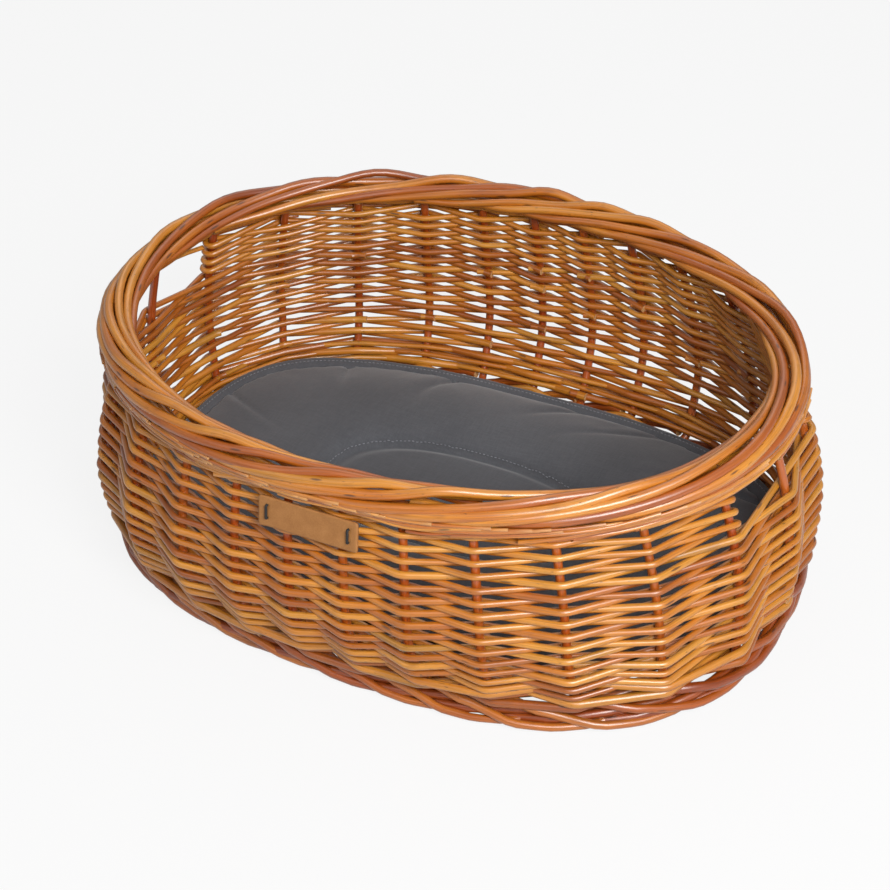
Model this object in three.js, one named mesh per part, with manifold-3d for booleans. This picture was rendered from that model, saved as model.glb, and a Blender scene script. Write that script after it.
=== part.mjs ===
// Oval willow basket with a leaning-out belly, a plaited border, two grip holes and a loose cushion.
// Millimetres, +Z up, +X along the length. The basket stands on its foot border at Z = 0.
import * as THREE from 'three';
import { mergeVertices } from 'three/addons/utils/BufferGeometryUtils.js';
import Module from 'manifold-3d';

const wasm = await Module();
wasm.setup();

// Outline of the basket
const basketHeight = 200;        // floor to the top of the border
const rimLength = 541;           // over the outside of the border
const rimWidth = 405;
const bellyLength = 555;         // over the outside of the siding at its fullest
const bellyWidth = 412;
const bellyHeight = 84;          // where the siding is fullest
const footLength = 541;          // over the outside of the foot border
const footWidth = 368;
const rimSquareness = 2.1;       // 2 is an ellipse, more is a squarer oval
const footSquareness = 2.55;

// Willow rods, by diameter
const stakeThickness = 6.6;
const waleThickness = 6;
const sidingThickness = 3.9;
const panelThickness = 3.3;
const borderWidth = 31;          // the whole plaited roll, which lies a little flattened
const borderThickness = 25;
const footThickness = 17;        // the whole foot border
const stickThickness = 6.4;      // base sticks
const baseBandWidth = 10;        // two base weavers laid side by side
const baseBandThickness = 4.4;

// Counts
const stakeCount = 26;
const waleRods = 3;
const borderStrands = 4;
const footStrands = 3;
const crossSticks = 10;
const longSticks = 3;
const rodSides = 5;

// Spacing
const seatGap = 0.3;             // between rods that lie on each other
const endSpread = 0.22;          // stakes stand this share wider apart round the ends
const gripHeight = 38;           // grip holes, from the siding up to the border
const cutDepth = 0.7;            // flat worn into the underside of the foot border
const buttGap = 0.6;             // between the ends of two rods that follow each other
const legInset = 16;             // from the foot border's line inwards to where a stake starts
const legDrop = 3;               // the base lies this far below where a stake crosses the foot border
const bandGap = 1.2;             // between base weavers of neighbouring rounds
const crossPitch = 20;           // cross sticks in the middle of the base
const longPitch = 12;            // long sticks in the middle of the base
const lapStake = 2;              // the siding steps up a round in the bay before this stake
const borderButts = [3.5, 16.5]; // bays where border strands meet end to end
const footButt = 8.5;

// Cushion
const mouthClearance = 2;        // the filled part passes the border by this much all round
const cushionThickness = 25;
const flangeWidth = 11;          // flat sewn edge
const flangeThickness = 3;
const seamInset = 104;           // from the outline to the sewn inner oval
const seamDepth = 7;             // how far the sewn channel pulls the crown down
const ovalDip = 1;               // the middle of the inner oval lies this far below the crown
const cushionSides = 52;

// Label
const labelLength = 78;
const labelHeight = 23;
const labelThickness = 2;
const labelDrop = 17.5;          // from the tops of the stakes to the middle of the label
const tieThickness = 2;
const tieSpan = 9.5;             // between the two holes of one tie
const tieInset = 7;              // from the label's end to its tie
const tieHoleGap = 0.35;

const fullTurn = 2 * Math.PI;
const stakeRadius = stakeThickness / 2;

const willow = { color: 0xb5651d, roughness: 0.4, metalness: 0 };
const paleWillow = { color: 0xcf8a3c, roughness: 0.38, metalness: 0 };
const darkWillow = { color: 0x8e4416, roughness: 0.45, metalness: 0 };
const greyCloth = { color: 0x55565a, roughness: 0.95, metalness: 0 };
const tanLeather = { color: 0xa9783f, roughness: 0.7, metalness: 0 };
const blackCord = { color: 0x1b1a1a, roughness: 0.85, metalness: 0 };

const basket = new THREE.Group();

function addMesh(name, geometry, finish) {
  const mesh = new THREE.Mesh(geometry, new THREE.MeshStandardMaterial(finish));
  mesh.name = name;
  basket.add(mesh);
  return mesh;
}

// Ovals: a point at an angle, and the angles of the stakes
function ovalPoint(angle, halfLength, halfWidth, squareness) {
  const c = Math.cos(angle);
  const s = Math.sin(angle);
  const size = (Math.abs(c) ** squareness + Math.abs(s) ** squareness) ** (1 / squareness);
  return new THREE.Vector2((halfLength * c) / size, (halfWidth * s) / size);
}

const angleSteps = 1440;
const bellyWalk = [0];
for (let i = 1; i <= angleSteps; i += 1) {
  const before = ovalPoint(((i - 1) / angleSteps) * fullTurn, bellyLength / 2, bellyWidth / 2, 2);
  const here = ovalPoint((i / angleSteps) * fullTurn, bellyLength / 2, bellyWidth / 2, 2);
  bellyWalk.push(bellyWalk[i - 1] + before.distanceTo(here));
}

// The oval angle at stake number u, which may lie between two stakes
function stakeAngle(u) {
  const turns = Math.floor(u / stakeCount);
  const share = u / stakeCount - turns;
  const spread = (endSpread * Math.sin(4 * Math.PI * share)) / (4 * Math.PI);
  const goal = (share + spread) * bellyWalk[angleSteps];
  let i = 0;
  while (i < angleSteps - 1 && bellyWalk[i + 1] < goal) i += 1;
  const part = (goal - bellyWalk[i]) / (bellyWalk[i + 1] - bellyWalk[i]);
  return ((i + part) / angleSteps + turns) * fullTurn;
}

// Heights that the pieces share
const borderReach = borderWidth / 2;
const rimHeight = basketHeight - borderThickness / 2;
const borderUnderside = basketHeight - borderThickness;
const footTop = footThickness - cutDepth;
const wallFoot = footTop + seatGap + stakeRadius;
const wallTop = borderUnderside - seatGap;
const weaveDepth = stakeRadius + sidingThickness + seatGap;

// Half sizes of the line that the stakes stand on
const rimHalf = new THREE.Vector2(rimLength / 2 - borderReach, rimWidth / 2 - borderReach);
const bellyHalf = new THREE.Vector2(bellyLength / 2 - weaveDepth, bellyWidth / 2 - weaveDepth);
const footHalf = new THREE.Vector2(footLength / 2 - footThickness / 2, footWidth / 2 - footThickness / 2);

function wallPoint(angle, z) {
  const half = new THREE.Vector2();
  if (z < bellyHeight) {
    const rise = (z - wallFoot) / (bellyHeight - wallFoot);
    half.lerpVectors(footHalf, bellyHalf, Math.sin((rise * Math.PI) / 2));
  } else {
    const rise = (z - bellyHeight) / (wallTop - bellyHeight);
    half.lerpVectors(rimHalf, bellyHalf, Math.cos((rise * Math.PI) / 2));
  }
  const blend = (z - wallFoot) / (wallTop - wallFoot);
  const squareness = THREE.MathUtils.lerp(footSquareness, rimSquareness, blend);
  const flat = ovalPoint(angle, half.x, half.y, squareness);
  return new THREE.Vector3(flat.x, flat.y, z);
}

// The bends of a stake, closer together where it leans out over the foot
const lowerBends = [0, 0.24, 0.55, 1].map((t) => wallFoot + (bellyHeight - wallFoot) * t);
const upperBends = [0.33, 0.68, 1].map((t) => bellyHeight + (wallTop - bellyHeight) * t);
const bendHeights = [...lowerBends, ...upperBends];

const stakeLines = new Map();

// One stake's line with its length, its outward direction and its tangent along the wall
function stakeLine(u) {
  if (stakeLines.has(u)) return stakeLines.get(u);
  const angle = stakeAngle(u);
  const points = bendHeights.map((z) => wallPoint(angle, z));
  const nudge = 0.002;
  const alongs = bendHeights.map((z) => {
    return wallPoint(angle + nudge, z).sub(wallPoint(angle - nudge, z)).normalize();
  });
  const ups = points.map((point, i) => {
    const before = points[Math.max(i - 1, 0)];
    const after = points[Math.min(i + 1, points.length - 1)];
    return after.clone().sub(before).normalize();
  });
  const outs = alongs.map((along, i) => along.clone().cross(ups[i]).normalize());
  const lengths = [0];
  for (let i = 1; i < points.length; i += 1) {
    lengths.push(lengths[i - 1] + points[i].distanceTo(points[i - 1]));
  }
  const line = { points, alongs, ups, outs, lengths, total: lengths[lengths.length - 1] };
  stakeLines.set(u, line);
  return line;
}

const wallRun = Math.min(...Array.from({ length: stakeCount }, (_, k) => stakeLine(k).total));

// A place on stake u, at a run that is measured up the shortest stake
function wallPlace(u, run) {
  const line = stakeLine(((u % stakeCount) + stakeCount) % stakeCount);
  const goal = (run / wallRun) * line.total;
  let i = 0;
  while (i < line.lengths.length - 2 && line.lengths[i + 1] < goal) i += 1;
  const part = (goal - line.lengths[i]) / (line.lengths[i + 1] - line.lengths[i]);
  const mix = (list) => list[i].clone().lerp(list[i + 1], part);
  return {
    point: mix(line.points),
    out: mix(line.outs).normalize(),
    up: mix(line.ups).normalize(),
    along: mix(line.alongs).normalize(),
  };
}

const upward = new THREE.Vector3(0, 0, 1);

// Solids: a section swept along points, closed by flat ends
function closedGeometry(positions, indices) {
  let volume = 0;
  for (let i = 0; i < indices.length; i += 3) {
    const [a, b, c] = [indices[i], indices[i + 1], indices[i + 2]].map((n) => {
      return new THREE.Vector3().fromArray(positions, n * 3);
    });
    volume += a.dot(b.cross(c));
  }
  const faces = volume < 0 ? indices.slice().reverse() : indices;
  const geometry = new THREE.BufferGeometry();
  geometry.setAttribute('position', new THREE.Float32BufferAttribute(positions, 3));
  geometry.setIndex(faces);
  return geometry;
}

function roundSection(radius, sides = rodSides) {
  return Array.from({ length: sides }, (_, i) => {
    const turn = Math.PI / 2 + (i / sides) * fullTurn;
    return [radius * Math.cos(turn), radius * Math.sin(turn)];
  });
}

function bandSection(width, thickness) {
  const w = width / 2;
  const t = thickness / 2;
  return [[-w, -t], [w, -t], [w, t], [-w, t]];
}

// path: a list of { point, up }, with a heading where an end is cut askew, or the direction across
// where the section lies along another piece; section: [sideways, upwards] pairs
function sweep(path, section) {
  const positions = [];
  const indices = [];
  path.forEach(({ point, up, heading, across }, i) => {
    const before = path[Math.max(i - 1, 0)].point;
    const after = path[Math.min(i + 1, path.length - 1)].point;
    const ahead = heading ?? after.clone().sub(before).normalize();
    const side = across ?? ahead.clone().cross(up).normalize();
    const top = side.clone().cross(ahead).normalize();
    section.forEach(([sideways, upwards]) => {
      const corner = point.clone().addScaledVector(side, sideways).addScaledVector(top, upwards);
      positions.push(corner.x, corner.y, corner.z);
    });
  });
  const n = section.length;
  for (let i = 0; i < path.length - 1; i += 1) {
    for (let j = 0; j < n; j += 1) {
      const a = i * n + j;
      const b = i * n + ((j + 1) % n);
      indices.push(a, b, a + n, b, b + n, a + n);
    }
  }
  const last = (path.length - 1) * n;
  for (let j = 1; j < n - 1; j += 1) {
    indices.push(0, j + 1, j, last, last + j, last + j + 1);
  }
  return closedGeometry(positions, indices);
}

// The end of a path where another rod follows on: drawn back a little, and cut on the line that
// halves the bend, so that both rods end in parallel faces
function buttEnd(end, inner, beyond) {
  const inward = inner.point.clone().sub(end.point).normalize();
  const outward = beyond.point.clone().sub(end.point).normalize();
  const heading = outward.clone().sub(inward).normalize();
  const back = buttGap / 2 / Math.abs(inward.dot(heading));
  return { point: end.point.clone().addScaledVector(inward, back), up: end.up, heading };
}

// Cuts the first and last place of a path off again, after they have set the faces of its ends
function buttBoth(places) {
  const n = places.length;
  const first = buttEnd(places[1], places[2], places[0]);
  first.heading.negate();
  return [first, ...places.slice(2, n - 2), buttEnd(places[n - 2], places[n - 3], places[n - 1])];
}

// How far from a stake's line a weaver passes, so that it bends round the stake without biting it.
// side is 1 outside the stake and -1 inside.
function weaveReach(u, run, thickness, side) {
  const here = wallPlace(u, run).point;
  const before = wallPlace(u - 1, run).point.sub(here);
  const after = wallPlace(u + 1, run).point.sub(here);
  const touch = stakeRadius + thickness / 2;
  const spacing = Math.min(before.length(), after.length());
  const turn = (Math.PI - before.angleTo(after)) / 2;
  const bend = Math.abs(Math.atan2(2 * touch + seatGap, spacing) + side * turn);
  return touch / Math.cos(bend) + seatGap;
}

function weavePlace(u, run, thickness, side) {
  const place = wallPlace(u, run);
  const reach = weaveReach(u, run, thickness, side);
  return { point: place.point.addScaledVector(place.out, side * reach), up: place.up };
}

// Stakes: a leg from the base over the foot border, then up the wall
const baseHeight = wallFoot - legDrop;

function legStart(u) {
  const flat = ovalPoint(stakeAngle(u), footHalf.x - legInset, footHalf.y - legInset, footSquareness);
  return new THREE.Vector3(flat.x, flat.y, baseHeight);
}

for (let k = 0; k < stakeCount; k += 1) {
  const line = stakeLine(k);
  const path = line.points.map((point, i) => ({ point, up: line.outs[i] }));
  path.unshift({ point: legStart(k), up: new THREE.Vector3(0, 0, -1) });
  const name = `stake_${String(k + 1).padStart(2, '0')}`;
  addMesh(name, sweep(path, roundSection(stakeRadius)), darkWillow);
}

// Wale: rods that pass outside two stakes and inside one
const walePitch = waleThickness + 2 * seatGap;
const waleStart = stakeRadius + waleThickness / 2 + seatGap;
for (let w = 0; w < waleRods; w += 1) {
  const run = waleStart + w * walePitch;
  const places = [];
  for (let j = -1; j <= stakeCount + 1; j += 1) {
    const inside = j % waleRods === 0 || j === stakeCount;
    places.push(weavePlace(w + j, run, waleThickness, inside ? -1 : 1));
  }
  addMesh(`wale_rod_${w + 1}`, sweep(buttBoth(places), roundSection(waleThickness / 2)), willow);
}

// Siding: rods that chase each other round, in front of one stake and behind the next
const waleTop = waleStart + (waleRods - 1) * walePitch + waleThickness / 2;
const sidingTop = wallRun - gripHeight;
const sidingRoom = sidingTop - waleTop - seatGap;
const sidingRounds = Math.floor(sidingRoom / (2 * (sidingThickness + seatGap)));
const sidingPitch = sidingRoom / (2 * sidingRounds);
const sidingStart = waleTop + seatGap + sidingThickness / 2;
const sidingLevel = (level) => sidingStart + level * sidingPitch;

function sidingRod(parity) {
  const path = [];
  for (let j = 0; j < sidingRounds * stakeCount; j += 1) {
    const level = 2 * Math.floor(j / stakeCount) + parity;
    const side = (j + parity) % 2 === 0 ? 1 : -1;
    path.push(weavePlace(lapStake + j, sidingLevel(level), sidingThickness, side));
  }
  return sweep(path, roundSection(sidingThickness / 2));
}

addMesh('siding_weaver_1', sidingRod(0), paleWillow);
addMesh('siding_weaver_2', sidingRod(1), willow);

// Panels beside the grip holes: one rod to and fro, turned back round the last stake
const panelRoom = gripHeight - 2 * seatGap;
const panelRows = Math.floor(panelRoom / (panelThickness + seatGap));
const panelPitch = panelRoom / panelRows;
const panelStart = sidingTop + seatGap + panelThickness / 2;
const turnSteps = 4;

function turnRound(u, row, side, direction) {
  const reach = weaveReach(u, panelStart, panelThickness, 1) / Math.cos(Math.PI / turnSteps / 2);
  const path = [];
  for (let i = 0; i <= turnSteps; i += 1) {
    const swing = (i / turnSteps) * Math.PI;
    const place = wallPlace(u, panelStart + (row + i / turnSteps) * panelPitch);
    const point = place.point
      .addScaledVector(place.out, side * reach * Math.cos(swing))
      .addScaledVector(place.along, direction * reach * Math.sin(swing));
    path.push({ point, up: place.up });
  }
  return path;
}

function panelRod(firstStake, lastStake) {
  const path = [];
  for (let row = 0; row < panelRows; row += 1) {
    const direction = row % 2 === 0 ? 1 : -1;
    const start = direction > 0 ? firstStake : lastStake;
    const end = direction > 0 ? lastStake : firstStake;
    const run = panelStart + row * panelPitch;
    const bays = lastStake - firstStake;
    for (let j = row === 0 ? 0 : 1; j <= bays; j += 1) {
      const u = start + direction * j;
      const side = (u + row) % 2 === 0 ? 1 : -1;
      if (u === end && row < panelRows - 1) {
        path.push(...turnRound(u, row, side, direction));
      } else {
        path.push(weavePlace(u, run, panelThickness, side));
      }
    }
  }
  return sweep(path, roundSection(panelThickness / 2));
}

const halfCount = stakeCount / 2;
addMesh('back_panel_weaver', panelRod(1, halfCount - 1), paleWillow);
addMesh('front_panel_weaver', panelRod(halfCount + 1, stakeCount - 1), paleWillow);

// A ring of strands wound round an oval line, in one lay every few bays
function strandRadius(count, ringRadius, lay) {
  const tight = Math.sin(Math.PI / count) * Math.cos(lay);
  return (tight * ringRadius - seatGap / 2) / (1 + tight);
}

function ringPlace(u, half, squareness, height) {
  const angle = stakeAngle(u);
  const nudge = 0.002;
  const flat = ovalPoint(angle, half.x, half.y, squareness);
  const ahead = ovalPoint(angle + nudge, half.x, half.y, squareness);
  const behind = ovalPoint(angle - nudge, half.x, half.y, squareness);
  const along = ahead.sub(behind).normalize();
  return { centre: new THREE.Vector3(flat.x, flat.y, height), out: new THREE.Vector3(along.y, -along.x, 0) };
}

const stepsPerBay = 2;

function woundStrand(ring, index, startBay) {
  const steps = stakeCount * stepsPerBay;
  const places = [];
  for (let i = -1; i <= steps + 1; i += 1) {
    const u = startBay + i / stepsPerBay;
    const { centre, out } = ringPlace(u, ring.half, ring.squareness, ring.height);
    const turn = ring.firstTurn + ring.hand * fullTurn * ((u + index) / ring.count);
    const spoke = out.multiplyScalar(ring.windOut * Math.cos(turn));
    spoke.addScaledVector(upward, ring.windUp * Math.sin(turn));
    places.push({ point: centre.add(spoke), up: spoke.normalize() });
  }
  return sweep(buttBoth(places), roundSection(ring.radius));
}

const baySpacing = (bellyWalk[angleSteps] / stakeCount) * (1 - endSpread);

// hand is 1 where a strand climbs on the outside as the stake numbers rise, and -1 where it goes down
function woundRing(count, width, thickness, half, squareness, height, firstTurn, hand) {
  const lay = Math.atan((Math.PI * width * 0.6) / (count * baySpacing));
  const radius = strandRadius(count, thickness / 2, lay);
  const windOut = width / 2 - radius;
  const windUp = thickness / 2 - radius;
  return { count, half, squareness, height, firstTurn, hand, radius, windOut, windUp };
}

// Border: one strand lies lowest at every stake, and rests on the stake's top
const borderRing = woundRing(
  borderStrands, borderWidth, borderThickness, rimHalf, rimSquareness, rimHeight, -Math.PI / 2, 1,
);
for (let i = 0; i < borderStrands; i += 1) {
  const strand = woundStrand(borderRing, i, borderButts[i % borderButts.length]);
  addMesh(`border_strand_${i + 1}`, strand, willow);
}

// Foot border: one strand lies highest at every stake and lowest between them, cut flat at the floor
function toManifold(geometry) {
  const bare = geometry.clone();
  bare.deleteAttribute('normal');
  bare.deleteAttribute('uv');
  const merged = mergeVertices(bare, 1e-4);
  return new wasm.Manifold(new wasm.Mesh({
    numProp: 3,
    vertProperties: new Float32Array(merged.attributes.position.array),
    triVerts: new Uint32Array(merged.index.array),
  }));
}

function toGeometry(manifold) {
  const mesh = manifold.getMesh();
  const geometry = new THREE.BufferGeometry();
  geometry.setAttribute('position', new THREE.Float32BufferAttribute(mesh.vertProperties, 3));
  geometry.setIndex(new THREE.Uint32BufferAttribute(mesh.triVerts, 1));
  return geometry;
}

const floorDepth = 40;
const floorBlock = new THREE.BoxGeometry(footLength * 2, footWidth * 2, floorDepth);
floorBlock.translate(0, 0, -floorDepth / 2);
const floor = toManifold(floorBlock);

const footCentre = footTop - footThickness / 2;
const footRing = woundRing(
  footStrands, footThickness, footThickness, footHalf, footSquareness, footCentre, Math.PI / 2, -1,
);
for (let i = 0; i < footStrands; i += 1) {
  const strand = toManifold(woundStrand(footRing, i, footButt));
  addMesh(`foot_strand_${i + 1}`, toGeometry(strand.subtract(floor)), darkWillow);
}

// Base: long sticks laid over cross sticks, which fan out to the stakes
const stickRadius = stickThickness / 2;
const slathHalfWidth = ((longSticks - 1) / 2) * longPitch + stickThickness;
const slathDrop = stickThickness + seatGap;

// A stick ends against the leg of a stake, with its end cut parallel to the leg's
function stickEnd(u) {
  const point = legStart(u);
  const heading = stakeLine(u % stakeCount).points[0].clone().sub(point).normalize();
  return { point: point.addScaledVector(heading, -seatGap), up: upward, heading };
}

function stickSolid(places) {
  places[0].heading.negate();
  return sweep(places, roundSection(stickRadius));
}

const stickRays = new Map();

for (let i = 0; i < crossSticks; i += 1) {
  const k = i + 1 + (longSticks - 1) / 2;
  const x = crossPitch * ((crossSticks - 1) / 2 - i);
  const places = [-1, 1].flatMap((side) => {
    const u = side < 0 ? stakeCount - k : k;
    const low = new THREE.Vector3(x, side * slathHalfWidth, baseHeight - slathDrop);
    const rise = new THREE.Vector3(x, side * (slathHalfWidth + 2 * slathDrop), baseHeight);
    const end = stickEnd(u);
    stickRays.set(u, [end.point, rise]);
    const inner = [{ point: rise, up: upward }, { point: low, up: upward }];
    return side < 0 ? [end, ...inner] : [...inner.reverse(), end];
  });
  addMesh(`cross_stick_${String(i + 1).padStart(2, '0')}`, stickSolid(places), darkWillow);
}

const slathHalfLength = crossPitch * (crossSticks / 2 + 0.5);
for (let i = 0; i < longSticks; i += 1) {
  const offset = i - (longSticks - 1) / 2;
  const y = offset * longPitch;
  const left = { point: new THREE.Vector3(-slathHalfLength, y, baseHeight), up: upward };
  const right = { point: new THREE.Vector3(slathHalfLength, y, baseHeight), up: upward };
  const leftEnd = stickEnd(halfCount - offset);
  const rightEnd = stickEnd(stakeCount + offset);
  stickRays.set(halfCount - offset, [leftEnd.point, left.point]);
  stickRays.set((stakeCount + offset) % stakeCount, [rightEnd.point, right.point]);
  addMesh(`long_stick_${i + 1}`, stickSolid([leftEnd, left, right, rightEnd]), darkWillow);
}

// Base weavers: two bands chase each other round the sticks, from the stakes in to the slath
const bandPitch = baseBandWidth + bandGap;

const shortestRay = Math.min(...[...stickRays.values()].map(([end, inner]) => end.distanceTo(inner)));

function bandPlace(round, j) {
  const share = (baseBandWidth + (round + (2 * j) / stakeCount) * bandPitch) / shortestRay;
  const rayAt = (v) => stickRays.get(((v % stakeCount) + stakeCount) % stakeCount);
  const pointAt = (v) => rayAt(v)[0].clone().lerp(rayAt(v)[1], share);
  const point = pointAt(j);
  const across = rayAt(j)[0].clone().sub(rayAt(j)[1]).normalize();
  const spacing = Math.min(...[pointAt(j + 1), pointAt(j - 1)].map((next) => {
    return next.sub(point).cross(across).length();
  }));
  const touch = stickRadius + baseBandThickness / 2;
  const bend = Math.atan2(2 * touch + seatGap, spacing);
  const side = (j + round) % 2 === 0 ? 1 : -1;
  point.z += side * (touch / Math.cos(bend) + seatGap);
  return { point, up: upward, across };
}

let baseTop = baseHeight;
for (let round = 0; round < 2; round += 1) {
  const path = [];
  const room = shortestRay - 2.4 * baseBandWidth - round * bandPitch;
  const steps = Math.floor((stakeCount * room) / (2 * bandPitch));
  for (let j = 0; j <= steps; j += 1) path.push(bandPlace(round, j));
  const geometry = sweep(path, bandSection(baseBandWidth, baseBandThickness));
  geometry.computeBoundingBox();
  baseTop = Math.max(baseTop, geometry.boundingBox.max.z);
  addMesh(`base_weaver_${round + 1}`, geometry, willow);
}

// Cushion: a flat sewn edge, a stuffed ring and an inner oval that is sewn down round its outline
const cushionFloor = baseTop + seatGap;
const cushionHalf = rimHalf.clone().subScalar(borderReach + mouthClearance);
const seamHalf = cushionHalf.clone().subScalar(seamInset);
const crown = cushionThickness - flangeThickness;

function cushionRings() {
  const rings = [
    { half: cushionHalf.clone().subScalar(flangeWidth), z: 0 },
    { half: cushionHalf, z: flangeThickness / 4 },
    { half: cushionHalf, z: flangeThickness },
  ];
  const stuffed = [0, 0.07, 0.2, 0.4, 0.62, 0.84, 1];
  stuffed.forEach((share) => {
    const inset = THREE.MathUtils.lerp(flangeWidth, seamInset, share);
    const swell = Math.sin(Math.PI * share ** 0.7) ** 0.55;
    const floorRise = share * (crown - seamDepth);
    const rise = share === 0 ? 0 : floorRise + (crown - floorRise) * (share === 1 ? 0 : swell);
    rings.push({ half: cushionHalf.clone().subScalar(inset), z: flangeThickness + rise });
  });
  [0.9, 0.7, 0.4].forEach((size) => {
    const rise = crown - seamDepth + (seamDepth - ovalDip) * (1 - size ** 3) ** 0.7;
    rings.push({ half: seamHalf.clone().multiplyScalar(size), z: flangeThickness + rise });
  });
  return rings;
}

function ringedGeometry(rings, sides, squareness, floorZ, topZ) {
  const positions = [0, 0, floorZ];
  rings.forEach(({ half, z }) => {
    for (let i = 0; i < sides; i += 1) {
      const flat = ovalPoint((i / sides) * fullTurn, half.x, half.y, squareness);
      positions.push(flat.x, flat.y, floorZ + z);
    }
  });
  const topIndex = positions.length / 3;
  positions.push(0, 0, floorZ + topZ);
  const indices = [];
  for (let i = 0; i < sides; i += 1) {
    const next = (i + 1) % sides;
    indices.push(0, 1 + next, 1 + i);
    for (let r = 0; r < rings.length - 1; r += 1) {
      const a = 1 + r * sides + i;
      const b = 1 + r * sides + next;
      indices.push(a, b, a + sides, b, b + sides, a + sides);
    }
    indices.push(topIndex - sides + i, topIndex - sides + next, topIndex);
  }
  return closedGeometry(positions, indices);
}

const cushionTop = cushionThickness - ovalDip;
addMesh(
  'cushion',
  ringedGeometry(cushionRings(), cushionSides, rimSquareness, cushionFloor, cushionTop),
  greyCloth,
);

// Label: a bare leather strip across the two middle stakes of the front, under the border
const labelRun = wallRun - labelDrop;
const labelStakes = [Math.floor(0.75 * stakeCount), Math.ceil(0.75 * stakeCount)];
const labelPlaces = labelStakes.map((u) => wallPlace(u, labelRun));
const labelOut = labelPlaces[0].out.clone().add(labelPlaces[1].out).normalize();
const labelAlong = labelPlaces[1].point.clone().sub(labelPlaces[0].point).normalize();
const labelUp = labelOut.clone().cross(labelAlong).normalize();
const labelReach = weaveReach(labelStakes[0], labelRun, panelThickness, 1) + panelThickness / 2 + seatGap;
const labelBack = labelPlaces[0].point.clone().add(labelPlaces[1].point).multiplyScalar(0.5);
labelBack.addScaledVector(labelOut, labelReach);
const labelTurn = new THREE.Quaternion().setFromRotationMatrix(
  new THREE.Matrix4().makeBasis(labelAlong, labelUp, labelOut),
);
const tieRadius = tieThickness / 2;
const tieX = labelLength / 2 - tieInset;

function labelShape() {
  const halfLength = labelLength / 2;
  const halfHeight = labelHeight / 2;
  const shape = new THREE.Shape();
  shape.moveTo(-halfLength, -halfHeight);
  shape.lineTo(halfLength, -halfHeight);
  shape.lineTo(halfLength, halfHeight);
  shape.lineTo(-halfLength, halfHeight);
  shape.closePath();
  [-1, 1].forEach((end) => {
    [-1, 1].forEach((row) => {
      const hole = new THREE.Path();
      hole.absarc(end * tieX, (row * tieSpan) / 2, tieRadius + tieHoleGap, 0, fullTurn, true);
      shape.holes.push(hole);
    });
  });
  return shape;
}

function placeOnLabel(mesh) {
  mesh.position.copy(labelBack);
  mesh.quaternion.copy(labelTurn);
}

const labelGeometry = new THREE.ExtrudeGeometry(labelShape(), {
  depth: labelThickness, bevelEnabled: false, curveSegments: 4,
});
placeOnLabel(addMesh('label', labelGeometry, tanLeather));

// Each tie is a stitch of cord that passes through two holes of the label
[-1, 1].forEach((end, i) => {
  const front = labelThickness + seatGap + tieRadius;
  const corners = [[-1, 0], [-1, front], [1, front], [1, 0]];
  const path = corners.map(([row, depth]) => ({
    point: new THREE.Vector3(end * tieX, (row * tieSpan) / 2, depth),
    up: new THREE.Vector3(1, 0, 0),
  }));
  placeOnLabel(addMesh(`label_tie_${i + 1}`, sweep(path, roundSection(tieRadius)), blackCord));
});

export default basket;
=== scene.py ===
import bisect
import math
import random

import bmesh
import bpy
from mathutils import Matrix, Vector, noise
from mathutils.bvhtree import BVHTree


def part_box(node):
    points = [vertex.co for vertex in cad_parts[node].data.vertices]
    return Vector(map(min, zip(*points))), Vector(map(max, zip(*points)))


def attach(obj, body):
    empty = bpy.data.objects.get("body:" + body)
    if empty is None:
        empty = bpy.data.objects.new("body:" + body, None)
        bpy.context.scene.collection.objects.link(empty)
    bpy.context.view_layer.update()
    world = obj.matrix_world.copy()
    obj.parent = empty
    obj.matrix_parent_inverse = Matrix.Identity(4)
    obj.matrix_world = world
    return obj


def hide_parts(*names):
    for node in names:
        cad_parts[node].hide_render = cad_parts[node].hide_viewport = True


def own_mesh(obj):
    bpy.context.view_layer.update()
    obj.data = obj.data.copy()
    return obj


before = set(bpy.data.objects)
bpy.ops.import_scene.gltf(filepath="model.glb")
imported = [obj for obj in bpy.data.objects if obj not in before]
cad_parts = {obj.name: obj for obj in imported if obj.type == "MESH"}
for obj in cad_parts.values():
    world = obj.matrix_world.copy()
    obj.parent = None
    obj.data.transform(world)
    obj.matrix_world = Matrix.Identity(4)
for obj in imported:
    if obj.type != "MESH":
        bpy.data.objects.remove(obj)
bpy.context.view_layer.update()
scene = bpy.context.scene
fullTurn = 2 * math.pi
upward = Vector((0, 0, 1))
print("solids loaded:", len(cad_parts), "nodes")


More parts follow.
